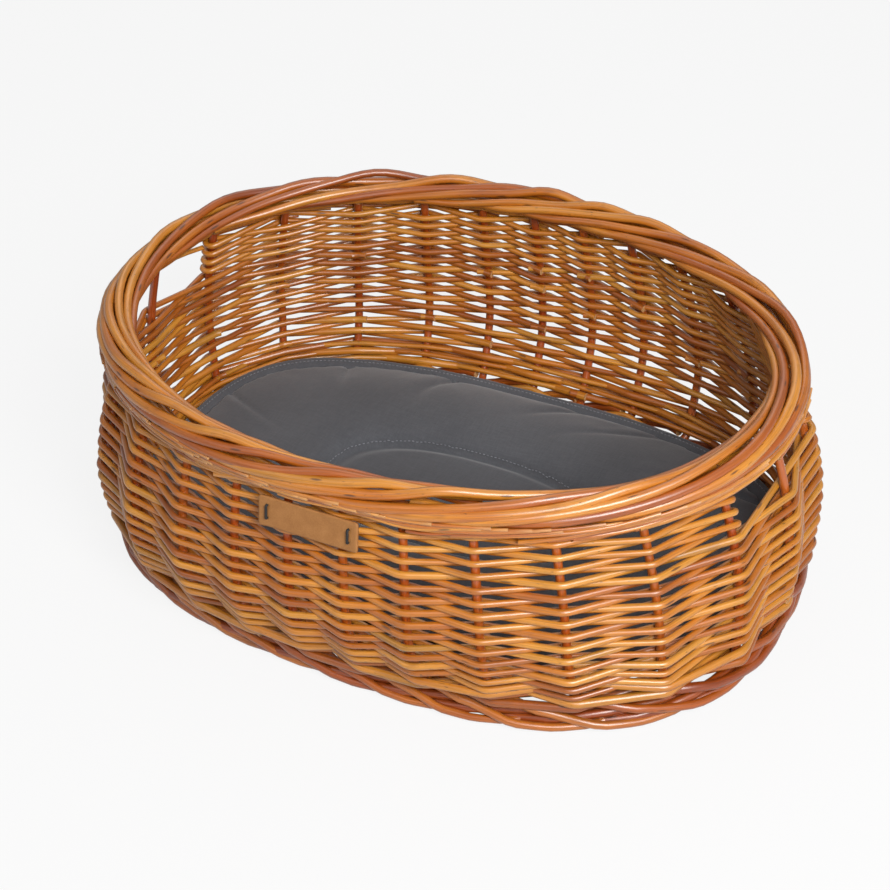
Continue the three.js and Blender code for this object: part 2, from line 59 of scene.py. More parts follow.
# Nodes: a wire carries one socket, so that shader maths reads as plain expressions
class Wire:
    def __init__(self, tree, socket=None):
        self.tree = tree
        self.socket = socket

    def node(self, kind, settings=(), inputs=(), output=0):
        made = self.tree.nodes.new(kind)
        for key, value in dict(settings).items():
            if key == "stops":
                fillRamp(made.color_ramp, value)
            else:
                setattr(made, key, value)
        for key, value in dict(inputs).items():
            if isinstance(value, Wire):
                self.tree.links.new(value.socket, made.inputs[key])
            else:
                made.inputs[key].default_value = value
        return Wire(self.tree, made.outputs[output])

    def maths(self, operation, first, second=0.0):
        return self.node("ShaderNodeMath", {"operation": operation}, {0: first, 1: second})

    def __add__(self, other):
        return self.maths("ADD", self, other)

    def __sub__(self, other):
        return self.maths("SUBTRACT", self, other)

    def __mul__(self, other):
        return self.maths("MULTIPLY", self, other)

    def ramp(self, *stops):
        return self.node("ShaderNodeValToRGB", {"stops": stops}, {0: self})

    # Cloudy noise at this place, finer along some axes where stretch says so
    def cloudy(self, scale, detail, stretch=None):
        place = self if stretch is None else self.vector("MULTIPLY", stretch)
        inputs = {"Vector": place, "Scale": scale, "Detail": detail}
        return self.node("ShaderNodeTexNoise", {}, inputs, output="Fac")

    def vector(self, operation, other):
        return self.node("ShaderNodeVectorMath", {"operation": operation}, {0: self, 1: other})

    def scaled(self, amount):
        return self.node("ShaderNodeVectorMath", {"operation": "SCALE"}, {0: self, "Scale": amount})


def fillRamp(ramp, stops):
    while len(ramp.elements) < len(stops):
        ramp.elements.new(1.0)
    for element, (place, colour) in zip(ramp.elements, stops):
        element.position = place
        element.color = colour


# A colour as it is picked on screen, from 0 to 255
def tint(red, green, blue):
    shades = [v / 255 for v in (red, green, blue)]
    linear = [((v + 0.055) / 1.055) ** 2.4 if v > 0.04 else v / 12.92 for v in shades]
    return (*linear, 1.0)


def grey(level):
    return (level, level, level, 1.0)


def newMaterial(name):
    material = bpy.data.materials.new(name)
    material.use_nodes = True
    shader = material.node_tree.nodes["Principled BSDF"]
    return material, Wire(material.node_tree), shader


def feed(wire, shader, name):
    wire.tree.links.new(wire.socket, shader.inputs[name])


def setInputs(shader, values):
    for name, value in values.items():
        shader.inputs[name].default_value = value


def bump(height, shader, strength, distance):
    inputs = {"Height": height, "Strength": strength, "Distance": distance}
    feed(height.node("ShaderNodeBump", {}, inputs), shader, "Normal")


def blended(share, first, second, mode="MIX"):
    inputs = {0: share, 6: first, 7: second}
    wire = share if isinstance(share, Wire) else first
    return wire.node("ShaderNodeMix", {"data_type": "RGBA", "blend_type": mode}, inputs, output=2)


def attribute(graph, name, output="Vector"):
    return graph.node("ShaderNodeAttribute", {"attribute_name": name}, output=output)


def objectPlace(graph):
    return graph.node("ShaderNodeTexCoord", {}, output="Object")


# Willow: lacquered rods, each with its own tone, streaks along the grain and small dark bud scars
willowLook = {
    "streaks": (1500, 1500, 26),    # marks per metre round the rod and along it
    "patches": (70, 70, 14),
    "flecks": (900, 900, 240),
    "stains": (160, 160, 60),
    "buds": (150, 150, 26),
    "ownTone": 0.62,                # how far a rod's own tone decides, and its slow changes
    "patchTone": 0.9,
    "toneShift": 0.19,
    "streakShades": ((0.3, grey(0.66)), (0.52, grey(0.97)), (0.72, grey(1.16))),
    "stainColour": tint(104, 52, 20),
    "fleckColour": tint(58, 28, 12),
    "tipColour": tint(222, 178, 122),
    "roughness": 0.37,
    "lacquer": {
        "Coat Weight": 1.0,
        "Coat Roughness": 0.34,
        "Coat IOR": 1.68,
        "Specular IOR Level": 0.25,
    },
}

# The tones of one kind of rod: from the darkest to the palest, and a greenish rod now and then
sidingTones = [tint(132, 58, 4), tint(166, 88, 8), tint(188, 110, 18), tint(206, 138, 44), tint(160, 106, 22)]
panelTones = [tint(138, 64, 6), tint(170, 94, 12), tint(192, 116, 24), tint(208, 144, 52), tint(168, 108, 26)]
waleTones = [tint(130, 58, 4), tint(162, 84, 8), tint(182, 104, 16), tint(198, 128, 36), tint(152, 100, 20)]
borderTones = [tint(132, 56, 4), tint(162, 80, 8), tint(184, 104, 18), tint(204, 132, 40), tint(168, 108, 24)]
stakeTones = [tint(140, 50, 6), tint(160, 66, 8), tint(172, 78, 12), tint(180, 90, 20), tint(150, 72, 12)]
footTones = [tint(124, 48, 4), tint(148, 64, 6), tint(166, 82, 12), tint(182, 104, 28), tint(140, 74, 12)]


def willowMaterial(name, tones):
    look = willowLook
    material, graph, shader = newMaterial(name)
    place = attribute(graph, "rodPlace")
    tone = attribute(graph, "rodTone", "Fac")
    tip = attribute(graph, "rodTip", "Fac")
    streaks = place.cloudy(1.0, 3.0, look["streaks"])
    patches = place.cloudy(1.0, 2.0, look["patches"])
    flecks = place.cloudy(1.0, 1.0, look["flecks"])
    stains = place.cloudy(1.0, 2.0, look["stains"])
    budInputs = {"Vector": place.vector("MULTIPLY", look["buds"]), "Scale": 1.0}
    buds = graph.node("ShaderNodeTexVoronoi", {}, budInputs, output="Distance")

    shades = [(i / (len(tones) - 1), colour) for i, colour in enumerate(tones)]
    base = (tone * look["ownTone"] + (patches - 0.5) * look["patchTone"] + look["toneShift"]).ramp(*shades)
    base = blended(0.85, base, streaks.ramp(*look["streakShades"]), "MULTIPLY")
    fleckMask = flecks.ramp((0.71, grey(0)), (0.78, grey(1)))
    budMask = buds.ramp((0.08, grey(1)), (0.14, grey(0)))
    stainMask = stains.ramp((0.6, grey(0)), (0.78, grey(1)))
    base = blended(stainMask * 0.35, base, look["stainColour"])
    marks = graph.maths("MAXIMUM", fleckMask * 0.7, budMask * 0.75)
    base = blended(marks, base, look["fleckColour"])
    base = blended(tip * 0.6, base, look["tipColour"])
    feed(base, shader, "Base Color")
    feed(streaks * 0.14 + stainMask * 0.1 + look["roughness"], shader, "Roughness")
    bump(streaks * 0.5 + budMask * 0.9 + patches * 0.5, shader, 0.5, 0.00025)
    setInputs(shader, look["lacquer"])
    return material


# A dull material of one mottled colour, with its mottling as relief
def mottledMaterial(name, mottling, stops, roughness, relief):
    material, graph, shader = newMaterial(name)
    mottle = mottling(graph)
    feed(mottle.ramp(*stops), shader, "Base Color")
    if relief:
        bump(mottle, shader, *relief)
    setInputs(shader, {"Roughness": roughness})
    return material


def endGrain(graph):
    return objectPlace(graph).cloudy(1500.0, 2.0)


cutStops = [(0.3, tint(120, 72, 36)), (0.55, tint(196, 146, 92)), (0.75, tint(222, 182, 130))]
cutWillow = mottledMaterial("cutWillow", endGrain, cutStops, 0.8, (0.6, 0.0003))
print("willow materials ready")


# Geometry trees: named inputs first, then the steps
def newTree(name, sockets):
    tree = bpy.data.node_groups.new(name, "GeometryNodeTree")
    tree.interface.new_socket(name="Geometry", in_out="INPUT", socket_type="NodeSocketGeometry")
    for label, kind in sockets:
        tree.interface.new_socket(name=label, in_out="INPUT", socket_type="NodeSocket" + kind)
    tree.interface.new_socket(name="Geometry", in_out="OUTPUT", socket_type="NodeSocketGeometry")
    graph = Wire(tree)
    entry = tree.nodes.new("NodeGroupInput")
    given = {socket.name: Wire(tree, socket) for socket in entry.outputs if socket.name}
    return tree, graph, given


def endTree(tree, wire):
    leave = tree.nodes.new("NodeGroupOutput")
    tree.links.new(wire.socket, leave.inputs[0])


# Leaves a piece as its modifiers shape it, as a plain mesh
def flattened(piece):
    graph = bpy.context.evaluated_depsgraph_get()
    finished = bpy.data.meshes.new_from_object(piece.evaluated_get(graph))
    piece.modifiers.clear()
    piece.data = finished
    return finished


def placed(name, mesh):
    piece = bpy.data.objects.new(name, mesh)
    scene.collection.objects.link(piece)
    return piece


# Turns a mesh of bare edges into the finished piece, as a plain mesh
def grown(name, mesh, tree, values):
    piece = placed(name, mesh)
    modifier = piece.modifiers.new(name, "NODES")
    modifier.node_group = tree
    for item in tree.interface.items_tree:
        if item.in_out == "INPUT" and item.name in values:
            modifier[item.identifier] = values[item.name]
    flattened(piece).name = name
    return piece


# Round rods along paths: each has its own thickness, and an uneven skin
def roundRodTree():
    tree, graph, given = newTree("roundRods", [
        ("Sides", "Int"), ("Unevenness", "Float"), ("Bumps per metre", "Float"),
        ("Seed", "Float"), ("Surface", "Material"), ("Cut end", "Material"),
    ])

    def named(name, kind="FLOAT"):
        return graph.node("GeometryNodeInputNamedAttribute", {"data_type": kind}, {"Name": name})

    def stored(geometry, name, value, kind="FLOAT"):
        settings = {"data_type": kind, "domain": "POINT"}
        inputs = {"Geometry": geometry, "Name": name, "Value": value}
        return graph.node("GeometryNodeStoreNamedAttribute", settings, inputs)

    curve = graph.node("GeometryNodeMeshToCurve", {}, {0: given["Geometry"]})
    along = graph.node("GeometryNodeSplineParameter", output="Length")
    curve = stored(curve, "rodAlong", along)
    inputs = {"Resolution": given["Sides"], "Radius": 1.0}
    profile = graph.node("GeometryNodeCurvePrimitiveCircle", {"mode": "RADIUS"}, inputs)
    profile = stored(profile, "rodSpoke", graph.node("GeometryNodeInputPosition"), "FLOAT_VECTOR")
    inputs = {"Curve": curve, "Profile Curve": profile, "Scale": named("rodRadius"), "Fill Caps": True}
    solid = graph.node("GeometryNodeCurveToMesh", {}, inputs)
    spoke = named("rodSpoke", "FLOAT_VECTOR").scaled(named("rodRadius"))
    inputs = {"X": named("rodTone") * 3.7, "Y": 0.0, "Z": named("rodAlong") + named("rodShift")}
    lift = graph.node("ShaderNodeCombineXYZ", {}, inputs)
    solid = stored(solid, "rodPlace", spoke.vector("ADD", lift), "FLOAT_VECTOR")
    steps = named("rodPlace", "FLOAT_VECTOR").scaled(given["Bumps per metre"])
    inputs = {"Vector": steps, "W": given["Seed"], "Scale": 1.0}
    bumps = graph.node("ShaderNodeTexNoise", {"noise_dimensions": "4D"}, inputs, output="Fac")
    rise = (bumps - 0.5) * 2.0 * given["Unevenness"]
    offset = graph.node("GeometryNodeInputNormal").scaled(rise)
    solid = graph.node("GeometryNodeSetPosition", {}, {"Geometry": solid, "Offset": offset})
    corners = graph.node("GeometryNodeInputMeshFaceNeighbors", output="Vertex Count")
    settings = {"data_type": "INT", "operation": "GREATER_THAN"}
    isEnd = graph.node("FunctionNodeCompare", settings, {2: corners, 3: 4})
    isSide = graph.node("FunctionNodeBooleanMath", {"operation": "NOT"}, {0: isEnd})
    solid = graph.node("GeometryNodeSetShadeSmooth", {}, {"Geometry": solid, "Shade Smooth": isSide})
    solid = graph.node("GeometryNodeRealizeInstances", {}, {0: solid})
    solid = graph.node("GeometryNodeSetMaterial", {}, {"Geometry": solid, "Material": given["Surface"]})
    inputs = {"Geometry": solid, "Selection": isEnd, "Material": given["Cut end"]}
    endTree(tree, graph.node("GeometryNodeSetMaterial", {}, inputs))
    return tree


rodTree = roundRodTree()
rodValues = {"Bumps per metre": 90.0, "Seed": 3.0, "Cut end": cutWillow}
rodShift = 1.37                 # from one rod to the next, so that no two have the same marks


# Rods are kept as (path, radii, tone, pale) with pale from 0 to 1 at every point
def rod(path, radii, tone, pale=None):
    return (path, radii, tone, pale or [0.0] * len(path))


def rodPiece(name, rods, surface, sides=10, unevenness=0.00012):
    points, edges = [], []
    values = {"rodRadius": [], "rodTone": [], "rodShift": [], "rodTip": []}
    for number, (path, radii, tone, pale) in enumerate(rods):
        first = len(points)
        points.extend(path)
        edges.extend((first + i, first + i + 1) for i in range(len(path) - 1))
        values["rodRadius"].extend(radii)
        values["rodTone"].extend([tone] * len(path))
        values["rodShift"].extend([number * rodShift] * len(path))
        values["rodTip"].extend(pale)
    mesh = bpy.data.meshes.new(name)
    mesh.from_pydata(points, edges, [])
    for label, numbers in values.items():
        mesh.attributes.new(label, "FLOAT", "POINT").data.foreach_set("value", numbers)
    settings = {**rodValues, "Sides": sides, "Unevenness": unevenness, "Surface": surface}
    return grown(name, mesh, rodTree, settings)


def settle(piece, body, slotName, *nodes):
    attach(piece, body)
    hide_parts(*nodes)
    print(piece.name, "ready:", len(piece.data.polygons), "faces")


def willowPiece(name, rods, look, tones, slotName, nodes, sides=10):
    piece = rodPiece(name, rods, willowMaterial(look, tones), sides)
    settle(piece, "basket", slotName, *nodes)


# The wall: the line that the stakes stand on, with the solids' own sizes in metres
wall = {
    "stakes": 26,
    "rimHalf": (0.255, 0.187),
    "bellyHalf": (0.270, 0.1985),
    "footHalf": (0.262, 0.1755),
    "bellyOutline": (0.2775, 0.206),
    "rimSquareness": 2.1,
    "footSquareness": 2.55,
    "footZ": 0.0199,
    "bellyZ": 0.084,
    "topZ": 0.1747,
    "endSpread": 0.22,
    "gripHeight": 0.038,
    "seatGap": 0.0003,
    "bend": 0.0045,             # length of the bend where a rod passes a stake
    "touchGap": 0.0001,
    "endLifts": (0.0012, 0.001),    # how far the two ends of a rod stand off the wall
}
stakeCount = wall["stakes"]
nudge = 0.002                   # small turn, for a heading along an oval


def ovalPoint(angle, half, squareness):
    c, s = math.cos(angle), math.sin(angle)
    size = (abs(c) ** squareness + abs(s) ** squareness) ** (1 / squareness)
    return Vector((half[0] * c / size, half[1] * s / size, 0))


def mixed(first, second, share):
    return tuple(a + (b - a) * share for a, b in zip(first, second))


def smoothStep(low, high, value):
    t = min(max((value - low) / (high - low), 0), 1)
    return t * t * (3 - 2 * t)


def wavering(*place):
    return noise.noise(Vector(place))


walkSteps = 1440
walk = [0.0]
for i in range(walkSteps):
    here = ovalPoint(i / walkSteps * fullTurn, wall["bellyOutline"], 2)
    ahead = ovalPoint((i + 1) / walkSteps * fullTurn, wall["bellyOutline"], 2)
    walk.append(walk[-1] + (ahead - here).length)


# The oval angle at stake number u, which may lie between two stakes
def stakeAngle(u):
    turns = math.floor(u / stakeCount)
    share = u / stakeCount - turns
    slip = wall["endSpread"] * math.sin(2 * fullTurn * share) / (2 * fullTurn)
    goal = (share + slip) * walk[-1]
    i = min(max(bisect.bisect_right(walk, goal) - 1, 0), walkSteps - 1)
    part = (goal - walk[i]) / (walk[i + 1] - walk[i])
    return ((i + part) / walkSteps + turns) * fullTurn


def wallPoint(angle, z):
    if z < wall["bellyZ"]:
        rise = (z - wall["footZ"]) / (wall["bellyZ"] - wall["footZ"])
        half = mixed(wall["footHalf"], wall["bellyHalf"], math.sin(rise * math.pi / 2))
    else:
        rise = (z - wall["bellyZ"]) / (wall["topZ"] - wall["bellyZ"])
        half = mixed(wall["rimHalf"], wall["bellyHalf"], math.cos(rise * math.pi / 2))
    share = (z - wall["footZ"]) / (wall["topZ"] - wall["footZ"])
    squareness = wall["footSquareness"] + (wall["rimSquareness"] - wall["footSquareness"]) * share
    flat = ovalPoint(angle, half, squareness)
    return Vector((flat.x, flat.y, z))


lineSteps = 28
wallLines = {}


def wallLine(u):
    key = round(u % stakeCount, 4)
    if key in wallLines:
        return wallLines[key]
    angle = stakeAngle(key)
    heights = [wall["footZ"] + (wall["topZ"] - wall["footZ"]) * i / lineSteps for i in range(lineSteps + 1)]
    points = [wallPoint(angle, z) for z in heights]
    alongs = [(wallPoint(angle + nudge, z) - wallPoint(angle - nudge, z)).normalized() for z in heights]
    ups = []
    for i in range(len(points)):
        ups.append((points[min(i + 1, lineSteps)] - points[max(i - 1, 0)]).normalized())
    outs = [along.cross(up).normalized() for along, up in zip(alongs, ups)]
    lengths = [0.0]
    for i in range(lineSteps):
        lengths.append(lengths[-1] + (points[i + 1] - points[i]).length)
    wallLines[key] = (points, outs, alongs, lengths)
    return wallLines[key]


wallRun = min(wallLine(k)[-1][-1] for k in range(stakeCount))


# A place on stake u, at a run measured up the shortest stake: point, outward and along
def wallPlace(u, run):
    points, outs, alongs, lengths = wallLine(u)
    goal = run / wallRun * lengths[-1]
    i = min(max(bisect.bisect_right(lengths, goal) - 1, 0), lineSteps - 1)
    part = (goal - lengths[i]) / (lengths[i + 1] - lengths[i])
    return tuple(row[i].lerp(row[i + 1], part) for row in (points, outs, alongs))


# A path that goes straight between its corners and bends round each of them
def bentPath(corners, bend):
    path = [corners[0].copy()]
    for before, corner, after in zip(corners, corners[1:], corners[2:]):
        arrive, leave = corner - before, after - corner
        reach = min(bend, arrive.length * 0.4, leave.length * 0.4)
        a, b = arrive.normalized(), leave.normalized()
        knee = corner + (a - b) * (reach / 4)
        start, end = knee - a * reach, knee + b * reach
        for t in (0, 0.25, 0.5, 0.75, 1):
            path.append(start * (1 - t) ** 2 + knee * 2 * t * (1 - t) + end * t * t)
    path.append(corners[-1].copy())
    return path


# Thickness from the butt to the tip, with a slow unevenness of its own
def taperedRadii(path, radius, taper, mark):
    count = len(path) - 1
    radii = []
    for i in range(count + 1):
        t = i / count
        wobble = wavering(t * count * 0.11, mark * 7.3, 1.7)
        radii.append(radius * (1 + taper * (0.5 - t) + 0.07 * wobble))
    return radii


def taperedRod(path, thickness, taper, mark, dice):
    return rod(path, taperedRadii(path, thickness / 2, taper, mark), dice.random())


stakeRadius = 0.0033

# Wale: rods that pass outside two stakes and inside one
wale = {
    "thickness": 0.0065,
    "innerThickness": 0.0042,   # thin rods that take the other side of every stake
    "rods": 3,
    "start": 0.0054,
    "pitch": 0.0061,
    "topGap": 0.00035,          # from the top rod to the first row of siding
    "drift": 0.0002,
    "taper": 0.1,
    "bays": 12,                 # length of a wale rod, from stake to stake
    "tails": (0.007, 0.005),
}

# Siding: rows of rods, in front of one stake and behind the next
siding = {
    "thickness": 0.0052,
    "rows": 20,
    "taper": 0.24,
    "drift": 0.0009,            # how far a row wanders up and down
    "tilt": 0.0004,
    "tailLength": 0.006,
}
waleTopRun = wale["start"] + (wale["rods"] - 1) * wale["pitch"] + wale["thickness"] / 2 + wale["topGap"]
sidingTop = wallRun - wall["gripHeight"]
sidingPitch = (sidingTop - waleTopRun - wall["seatGap"]) / siding["rows"]


def reachOf(thickness):
    return stakeRadius + thickness / 2 + wall["touchGap"]


# Where a row crosses stake u, on the outside (side 1) or the inside (side -1)
def crossing(u, run, thickness, side, drift, mark):
    sway = drift * wavering(u * 0.45, run * 40, 0.3)
    own = drift * 0.6 * wavering(u * 0.9, mark * 3.1, 5.2)
    spot, out = wallPlace(u, run + sway + own)[:2]
    return spot + out * side * reachOf(thickness)


# One rod of a ring, from the stake where it starts to the stake where the next one takes over
def ringRod(first, last, runAt, thickness, sideAt, drift, mark, tail):
    corners = [crossing(k, runAt(k), thickness, sideAt(k), drift, mark) for k in range(first, last + 1)]
    out, along = wallPlace(first, runAt(first))[1:]
    start = corners[0] + sideAt(first) * out * wall["endLifts"][0] - along * tail
    out, along = wallPlace(last, runAt(last))[1:]
    end = corners[-1] + along * tail + sideAt(last) * out * wall["endLifts"][1]
    return bentPath([start, *corners, end], wall["bend"])


def sidingRods():
    dice = random.Random(11)
    rods = []
    for row in range(siding["rows"]):
        run = waleTopRun + siding["thickness"] / 2 + row * sidingPitch
        start = (5 * row + 2) % stakeCount
        start += (start + row + 1) % 2
        pieces = 2 if row % 3 else 3
        stops = [start + round(i * stakeCount / pieces / 2) * 2 for i in range(pieces)]
        stops.append(start + stakeCount)
        for first, last in zip(stops, stops[1:]):
            mark = dice.random() * 50
            thickness = siding["thickness"] * dice.uniform(0.9, 1.06)
            tilt = dice.uniform(-siding["tilt"], siding["tilt"])

            def runAt(k):
                return run + tilt * (k - first) / (last - first)

            def sideAt(k):
                return 1 if (k + row) % 2 == 0 else -1

            tail = siding["tailLength"] * dice.uniform(0.7, 1.2)
            path = ringRod(first, last, runAt, thickness, sideAt, siding["drift"], mark, tail)
            rods.append(taperedRod(path, thickness, siding["taper"], mark, dice))
    return rods


sidingNodes = ["siding_weaver_1", "siding_weaver_2"]
willowPiece("sidingRods", sidingRods(), "sidingWillow", sidingTones, "willow_siding", sidingNodes)


def waleRods():
    dice = random.Random(5)
    rods = []
    for row in range(wale["rods"]):
        run = wale["start"] + row * wale["pitch"]
        cut = row + 3 * (2 + 3 * row)
        stops = [cut, cut + wale["bays"], cut + stakeCount]
        for first, last in zip(stops, stops[1:]):
            mark = dice.random() * 50
            thickness = wale["thickness"] * dice.uniform(0.95, 1.02)

            def sideAt(k):
                return -1 if (k - row) % stakeCount % 3 == 0 else 1

            def lane(thick, side, shift, tail):
                path = ringRod(first, last, lambda k: run, thick, side, wale["drift"], mark + shift, tail)
                rods.append(taperedRod(path, thick, wale["taper"], mark, dice))

            lane(thickness, sideAt, 0, wale["tails"][0])
            lane(wale["innerThickness"], lambda k: -sideAt(k), 9, wale["tails"][1])
    return rods


waleNodes = ["wale_rod_1", "wale_rod_2", "wale_rod_3"]
willowPiece("waleRods", waleRods(), "waleWillow", waleTones, "willow_siding", waleNodes)

# Panels beside the grip holes: thin rods to and fro, turned back round the last stake
panels = {
    "thickness": 0.0046,
    "solidThickness": 0.0033,   # the solids' own panel rods, in front of which the label lies
    "rows": 8,
    "stakes": [(1, 12), (14, 25)],
    "drift": 0.0004,            # sway of a row, up and down
    "bend": 0.0036,
    "turnSteps": 6,
}
panelPitch = (wall["gripHeight"] - 2 * wall["seatGap"]) / panels["rows"]
panelStart = sidingTop + wall["seatGap"] + panels["thickness"] / 2


def panelRun(row, u, mark):
    sway = panels["drift"] * wavering(u * 0.6, row * 0.8, mark)
    return panelStart + row * panelPitch + sway


def turnedBack(u, row, side, direction, mark):
    reach = reachOf(panels["thickness"])
    steps = panels["turnSteps"]
    low, high = panelRun(row, u, mark), panelRun(row + 1, u, mark)
    path = []
    for i in range(steps + 1):
        swing = i / steps * math.pi
        spot, out, along = wallPlace(u, low + (high - low) * i / steps)
        path.append(spot + out * side * reach * math.cos(swing) + along * direction * reach * math.sin(swing))
    return path


def panelRod(first, last, mark):
    path = []
    corners = []
    for row in range(panels["rows"]):
        direction = 1 if row % 2 == 0 else -1
        start, end = (first, last) if direction > 0 else (last, first)
        for j in range(0 if row == 0 else 1, last - first + 1):
            u = start + direction * j
            side = 1 if (u + row) % 2 == 0 else -1
            if u == end and row < panels["rows"] - 1:
                turn = turnedBack(u, row, side, direction, mark)
                corners.append(turn[0])
                path.extend(bentPath(corners, panels["bend"])[len(path) and 1:])
                path.extend(turn[1:])
                corners = [turn[-1]]
            else:
                spot, out = wallPlace(u, panelRun(row, u, mark))[:2]
                corners.append(spot + out * side * reachOf(panels["thickness"]))
    path.extend(bentPath(corners, panels["bend"])[1:])
    return path


panelRods = []
for number, (first, last) in enumerate(panels["stakes"]):
    path = panelRod(first, last, 3.0 + number)
    radii = taperedRadii(path, panels["thickness"] / 2, 0.0, number)
    panelRods.append(rod(path, radii, 0.5 + 0.1 * number))
panelNodes = ["back_panel_weaver", "front_panel_weaver"]
willowPiece("panelRods", panelRods, "panelWillow", panelTones, "willow_panels", panelNodes)

# Stakes: a leg from the base over the foot, then up the wall and into the border
stakes = {
    "legInset": 0.016,
    "legZ": 0.0169,
    "legBend": 0.006,
    "topTaper": 0.1,
    "intoBorder": 0.006,
}


def legStart(u):
    half = tuple(size - stakes["legInset"] for size in wall["footHalf"])
    flat = ovalPoint(stakeAngle(u), half, wall["footSquareness"])
    return Vector((flat.x, flat.y, stakes["legZ"]))


def stakeRods():
    dice = random.Random(23)
    rods = []
    for k in range(stakeCount):
        points = wallLine(k)[0]
        top = points[-1] + (points[-1] - points[-2]).normalized() * stakes["intoBorder"]
        corners = bentPath([legStart(k), points[0], points[2]], stakes["legBend"])
        path = [*corners[:-1], *points[2:], top]
        radii = taperedRadii(path, stakeRadius, stakes["topTaper"], k)
        rods.append(rod(path, [min(r, stakeRadius) for r in radii], dice.random()))
    return rods


stakeNodes = [f"stake_{k + 1:02d}" for k in range(stakeCount)]
willowPiece("stakeRods", stakeRods(), "stakeWillow", stakeTones, "willow_stakes", stakeNodes, 12)

# Border: a rod starts at every stake with its thick butt hidden under the roll, rises slowly up the
# outside, crosses over the crest and ends inside; thin tips hang over the lower outside
border = {
    "half": (0.0155, 0.0125),
    "height": 0.1875,
    "stepsPerBay": 6,
    "from": 235,
    "turn": 35.5,               # degrees from stake to stake
    "bays": 9.2,
    "radius": 0.0046,
    "endRadius": 0.0030,
    "skin": 0.0006,             # depth of a rod's outside under the roll's own
    "crestBay": 5.7,
    "crestLift": 0.0042,
    "endDepth": 0.0042,
    "lowDepth": 0.0026,         # thick rods lie deeper where the thin tips cover them
    "lowTurn": 290,
    "tipsPerStake": 6,
    "tipSteps": 10,
    "tipFrom": -52,
    "tipTurn": 12,
    "tipBays": 2.4,
    "tipRadius": 0.0017,
    "tipDrop": 0.0115,
    "labelPlace": 19.5,         # the tips stay clear of the label between these two stakes
}


def ringPlace(u, half, squareness, height):
    angle = stakeAngle(u)
    flat = ovalPoint(angle, half, squareness)
    along = ovalPoint(angle + nudge, half, squareness) - ovalPoint(angle - nudge, half, squareness)
    along.normalize()
    return Vector((flat.x, flat.y, height)), Vector((along.y, -along.x, 0))


# A place on the roll: degrees from straight out, over the top, and how deep under its skin
def onBorder(u, degrees, depth):
    centre, out = ringPlace(u, wall["rimHalf"], wall["rimSquareness"], border["height"])
    turn = math.radians(degrees)
    across, rise = (size - depth for size in border["half"])
    return centre + out * across * math.cos(turn) + upward * rise * math.sin(turn)


def borderRod(k, dice):
    swing, slip = dice.uniform(-8, 8), dice.uniform(-0.15, 0.15)
    thick, lift = dice.uniform(0.86, 1.05), dice.uniform(0.5, 1.4)
    bury = dice.uniform(0.003, 0.005)
    mark = dice.random() * 40
    bays = border["bays"]
    steps = round(bays * border["stepsPerBay"])
    path, radii = [], []
    for i in range(steps + 1):
        s = bays * i / steps
        radius = thick * (border["radius"] + (border["endRadius"] - border["radius"]) * s / bays)
        crest = math.exp(-((s - border["crestBay"]) / 0.55) ** 2)
        degrees = border["from"] + border["turn"] * s
        depth = radius + border["skin"] + 0.0015 * wavering(s * 1.1, mark, 8.4)
        depth -= border["crestLift"] * lift * crest
        depth += border["endDepth"] * smoothStep(8.3, bays, s) + bury * smoothStep(0.7, 0, s)
        depth += border["lowDepth"] * math.exp(-((degrees - border["lowTurn"]) / 32) ** 2)
        degrees += swing * smoothStep(8, 5, s) + 9 * wavering(s * 0.7, mark, 0.4)
        path.append(onBorder(k + slip + s, degrees, depth))
        radii.append(radius * (1 + 0.05 * wavering(s * 1.3, mark, 3.1)))
    return rod(path, radii, dice.random())


def tipRod(k, number, dice):
    thick, mark = dice.uniform(0.75, 1.2), dice.random() * 40
    swing, slip = dice.uniform(-13, 9), dice.uniform(-0.6, 0.6)
    bays = border["tipBays"] * dice.uniform(0.7, 1.15)
    fall = border["tipDrop"] * (number + dice.uniform(0, 0.9)) / border["tipsPerStake"]
    path, radii, pale = [], [], []
    for i in range(border["tipSteps"] + 1):
        s = i / border["tipSteps"]
        radius = thick * border["tipRadius"] * (1.05 - 0.35 * s)
        wander = wavering(s * 2.2, mark, 5.4)
        degrees = border["tipFrom"] + border["tipTurn"] * bays * s + swing + 9 * wander
        depth = radius * 0.6 - border["skin"] * smoothStep(0.85, 1, s) + 0.0018 * wander
        u = k + slip + bays * (s - 1)
        clear = 0.3 + 0.7 * smoothStep(1.0, 2.0, abs(u - border["labelPlace"]))
        path.append(onBorder(u, degrees, depth) - upward * fall * (1 - 0.8 * s) * clear)
        radii.append(radius)
        pale.append(0.15 * s + 0.6 * smoothStep(0.93, 1, s))
    return rod(path, radii, dice.random(), pale)


dice = random.Random(41)
borderRods = [borderRod(k, dice) for k in range(stakeCount)]
borderRods += [tipRod(k, number, dice) for k in range(stakeCount) for number in range(border["tipsPerStake"])]
borderNodes = [f"border_strand_{i + 1}" for i in range(4)]
willowPiece("borderRods", borderRods, "borderWillow", borderTones, "willow_border", borderNodes, 12)

# Foot border: a rod from under the wale at every stake, slanting down to the outside of the floor
foot = {
    "radius": 0.0034,
    "places": [                 # bays along, how far outside the stakes, height
        (0.08, -0.0005, 0.0215), (0.3, 0.0032, 0.0205), (0.6, 0.0058, 0.0160), (0.95, 0.0048, 0.0108),
        (1.35, 0.0046, 0.0060), (1.75, 0.0032, 0.0038), (2.15, 0.0008, 0.0038), (2.5, -0.0040, 0.0060),
    ],
    "stepsPerBay": 8,
    "floorGap": 0.0002,
    "coreRods": 3,
    "coreRadius": 0.0036,
    "coreReach": 0.004,
    "coreHeight": 0.0078,
    "coreTurns": 8,
    "bulge": 0.0065,            # the real foot stands out a little here
    "bulgeStake": 22.2,
    "bulgeBays": 1.9,
}


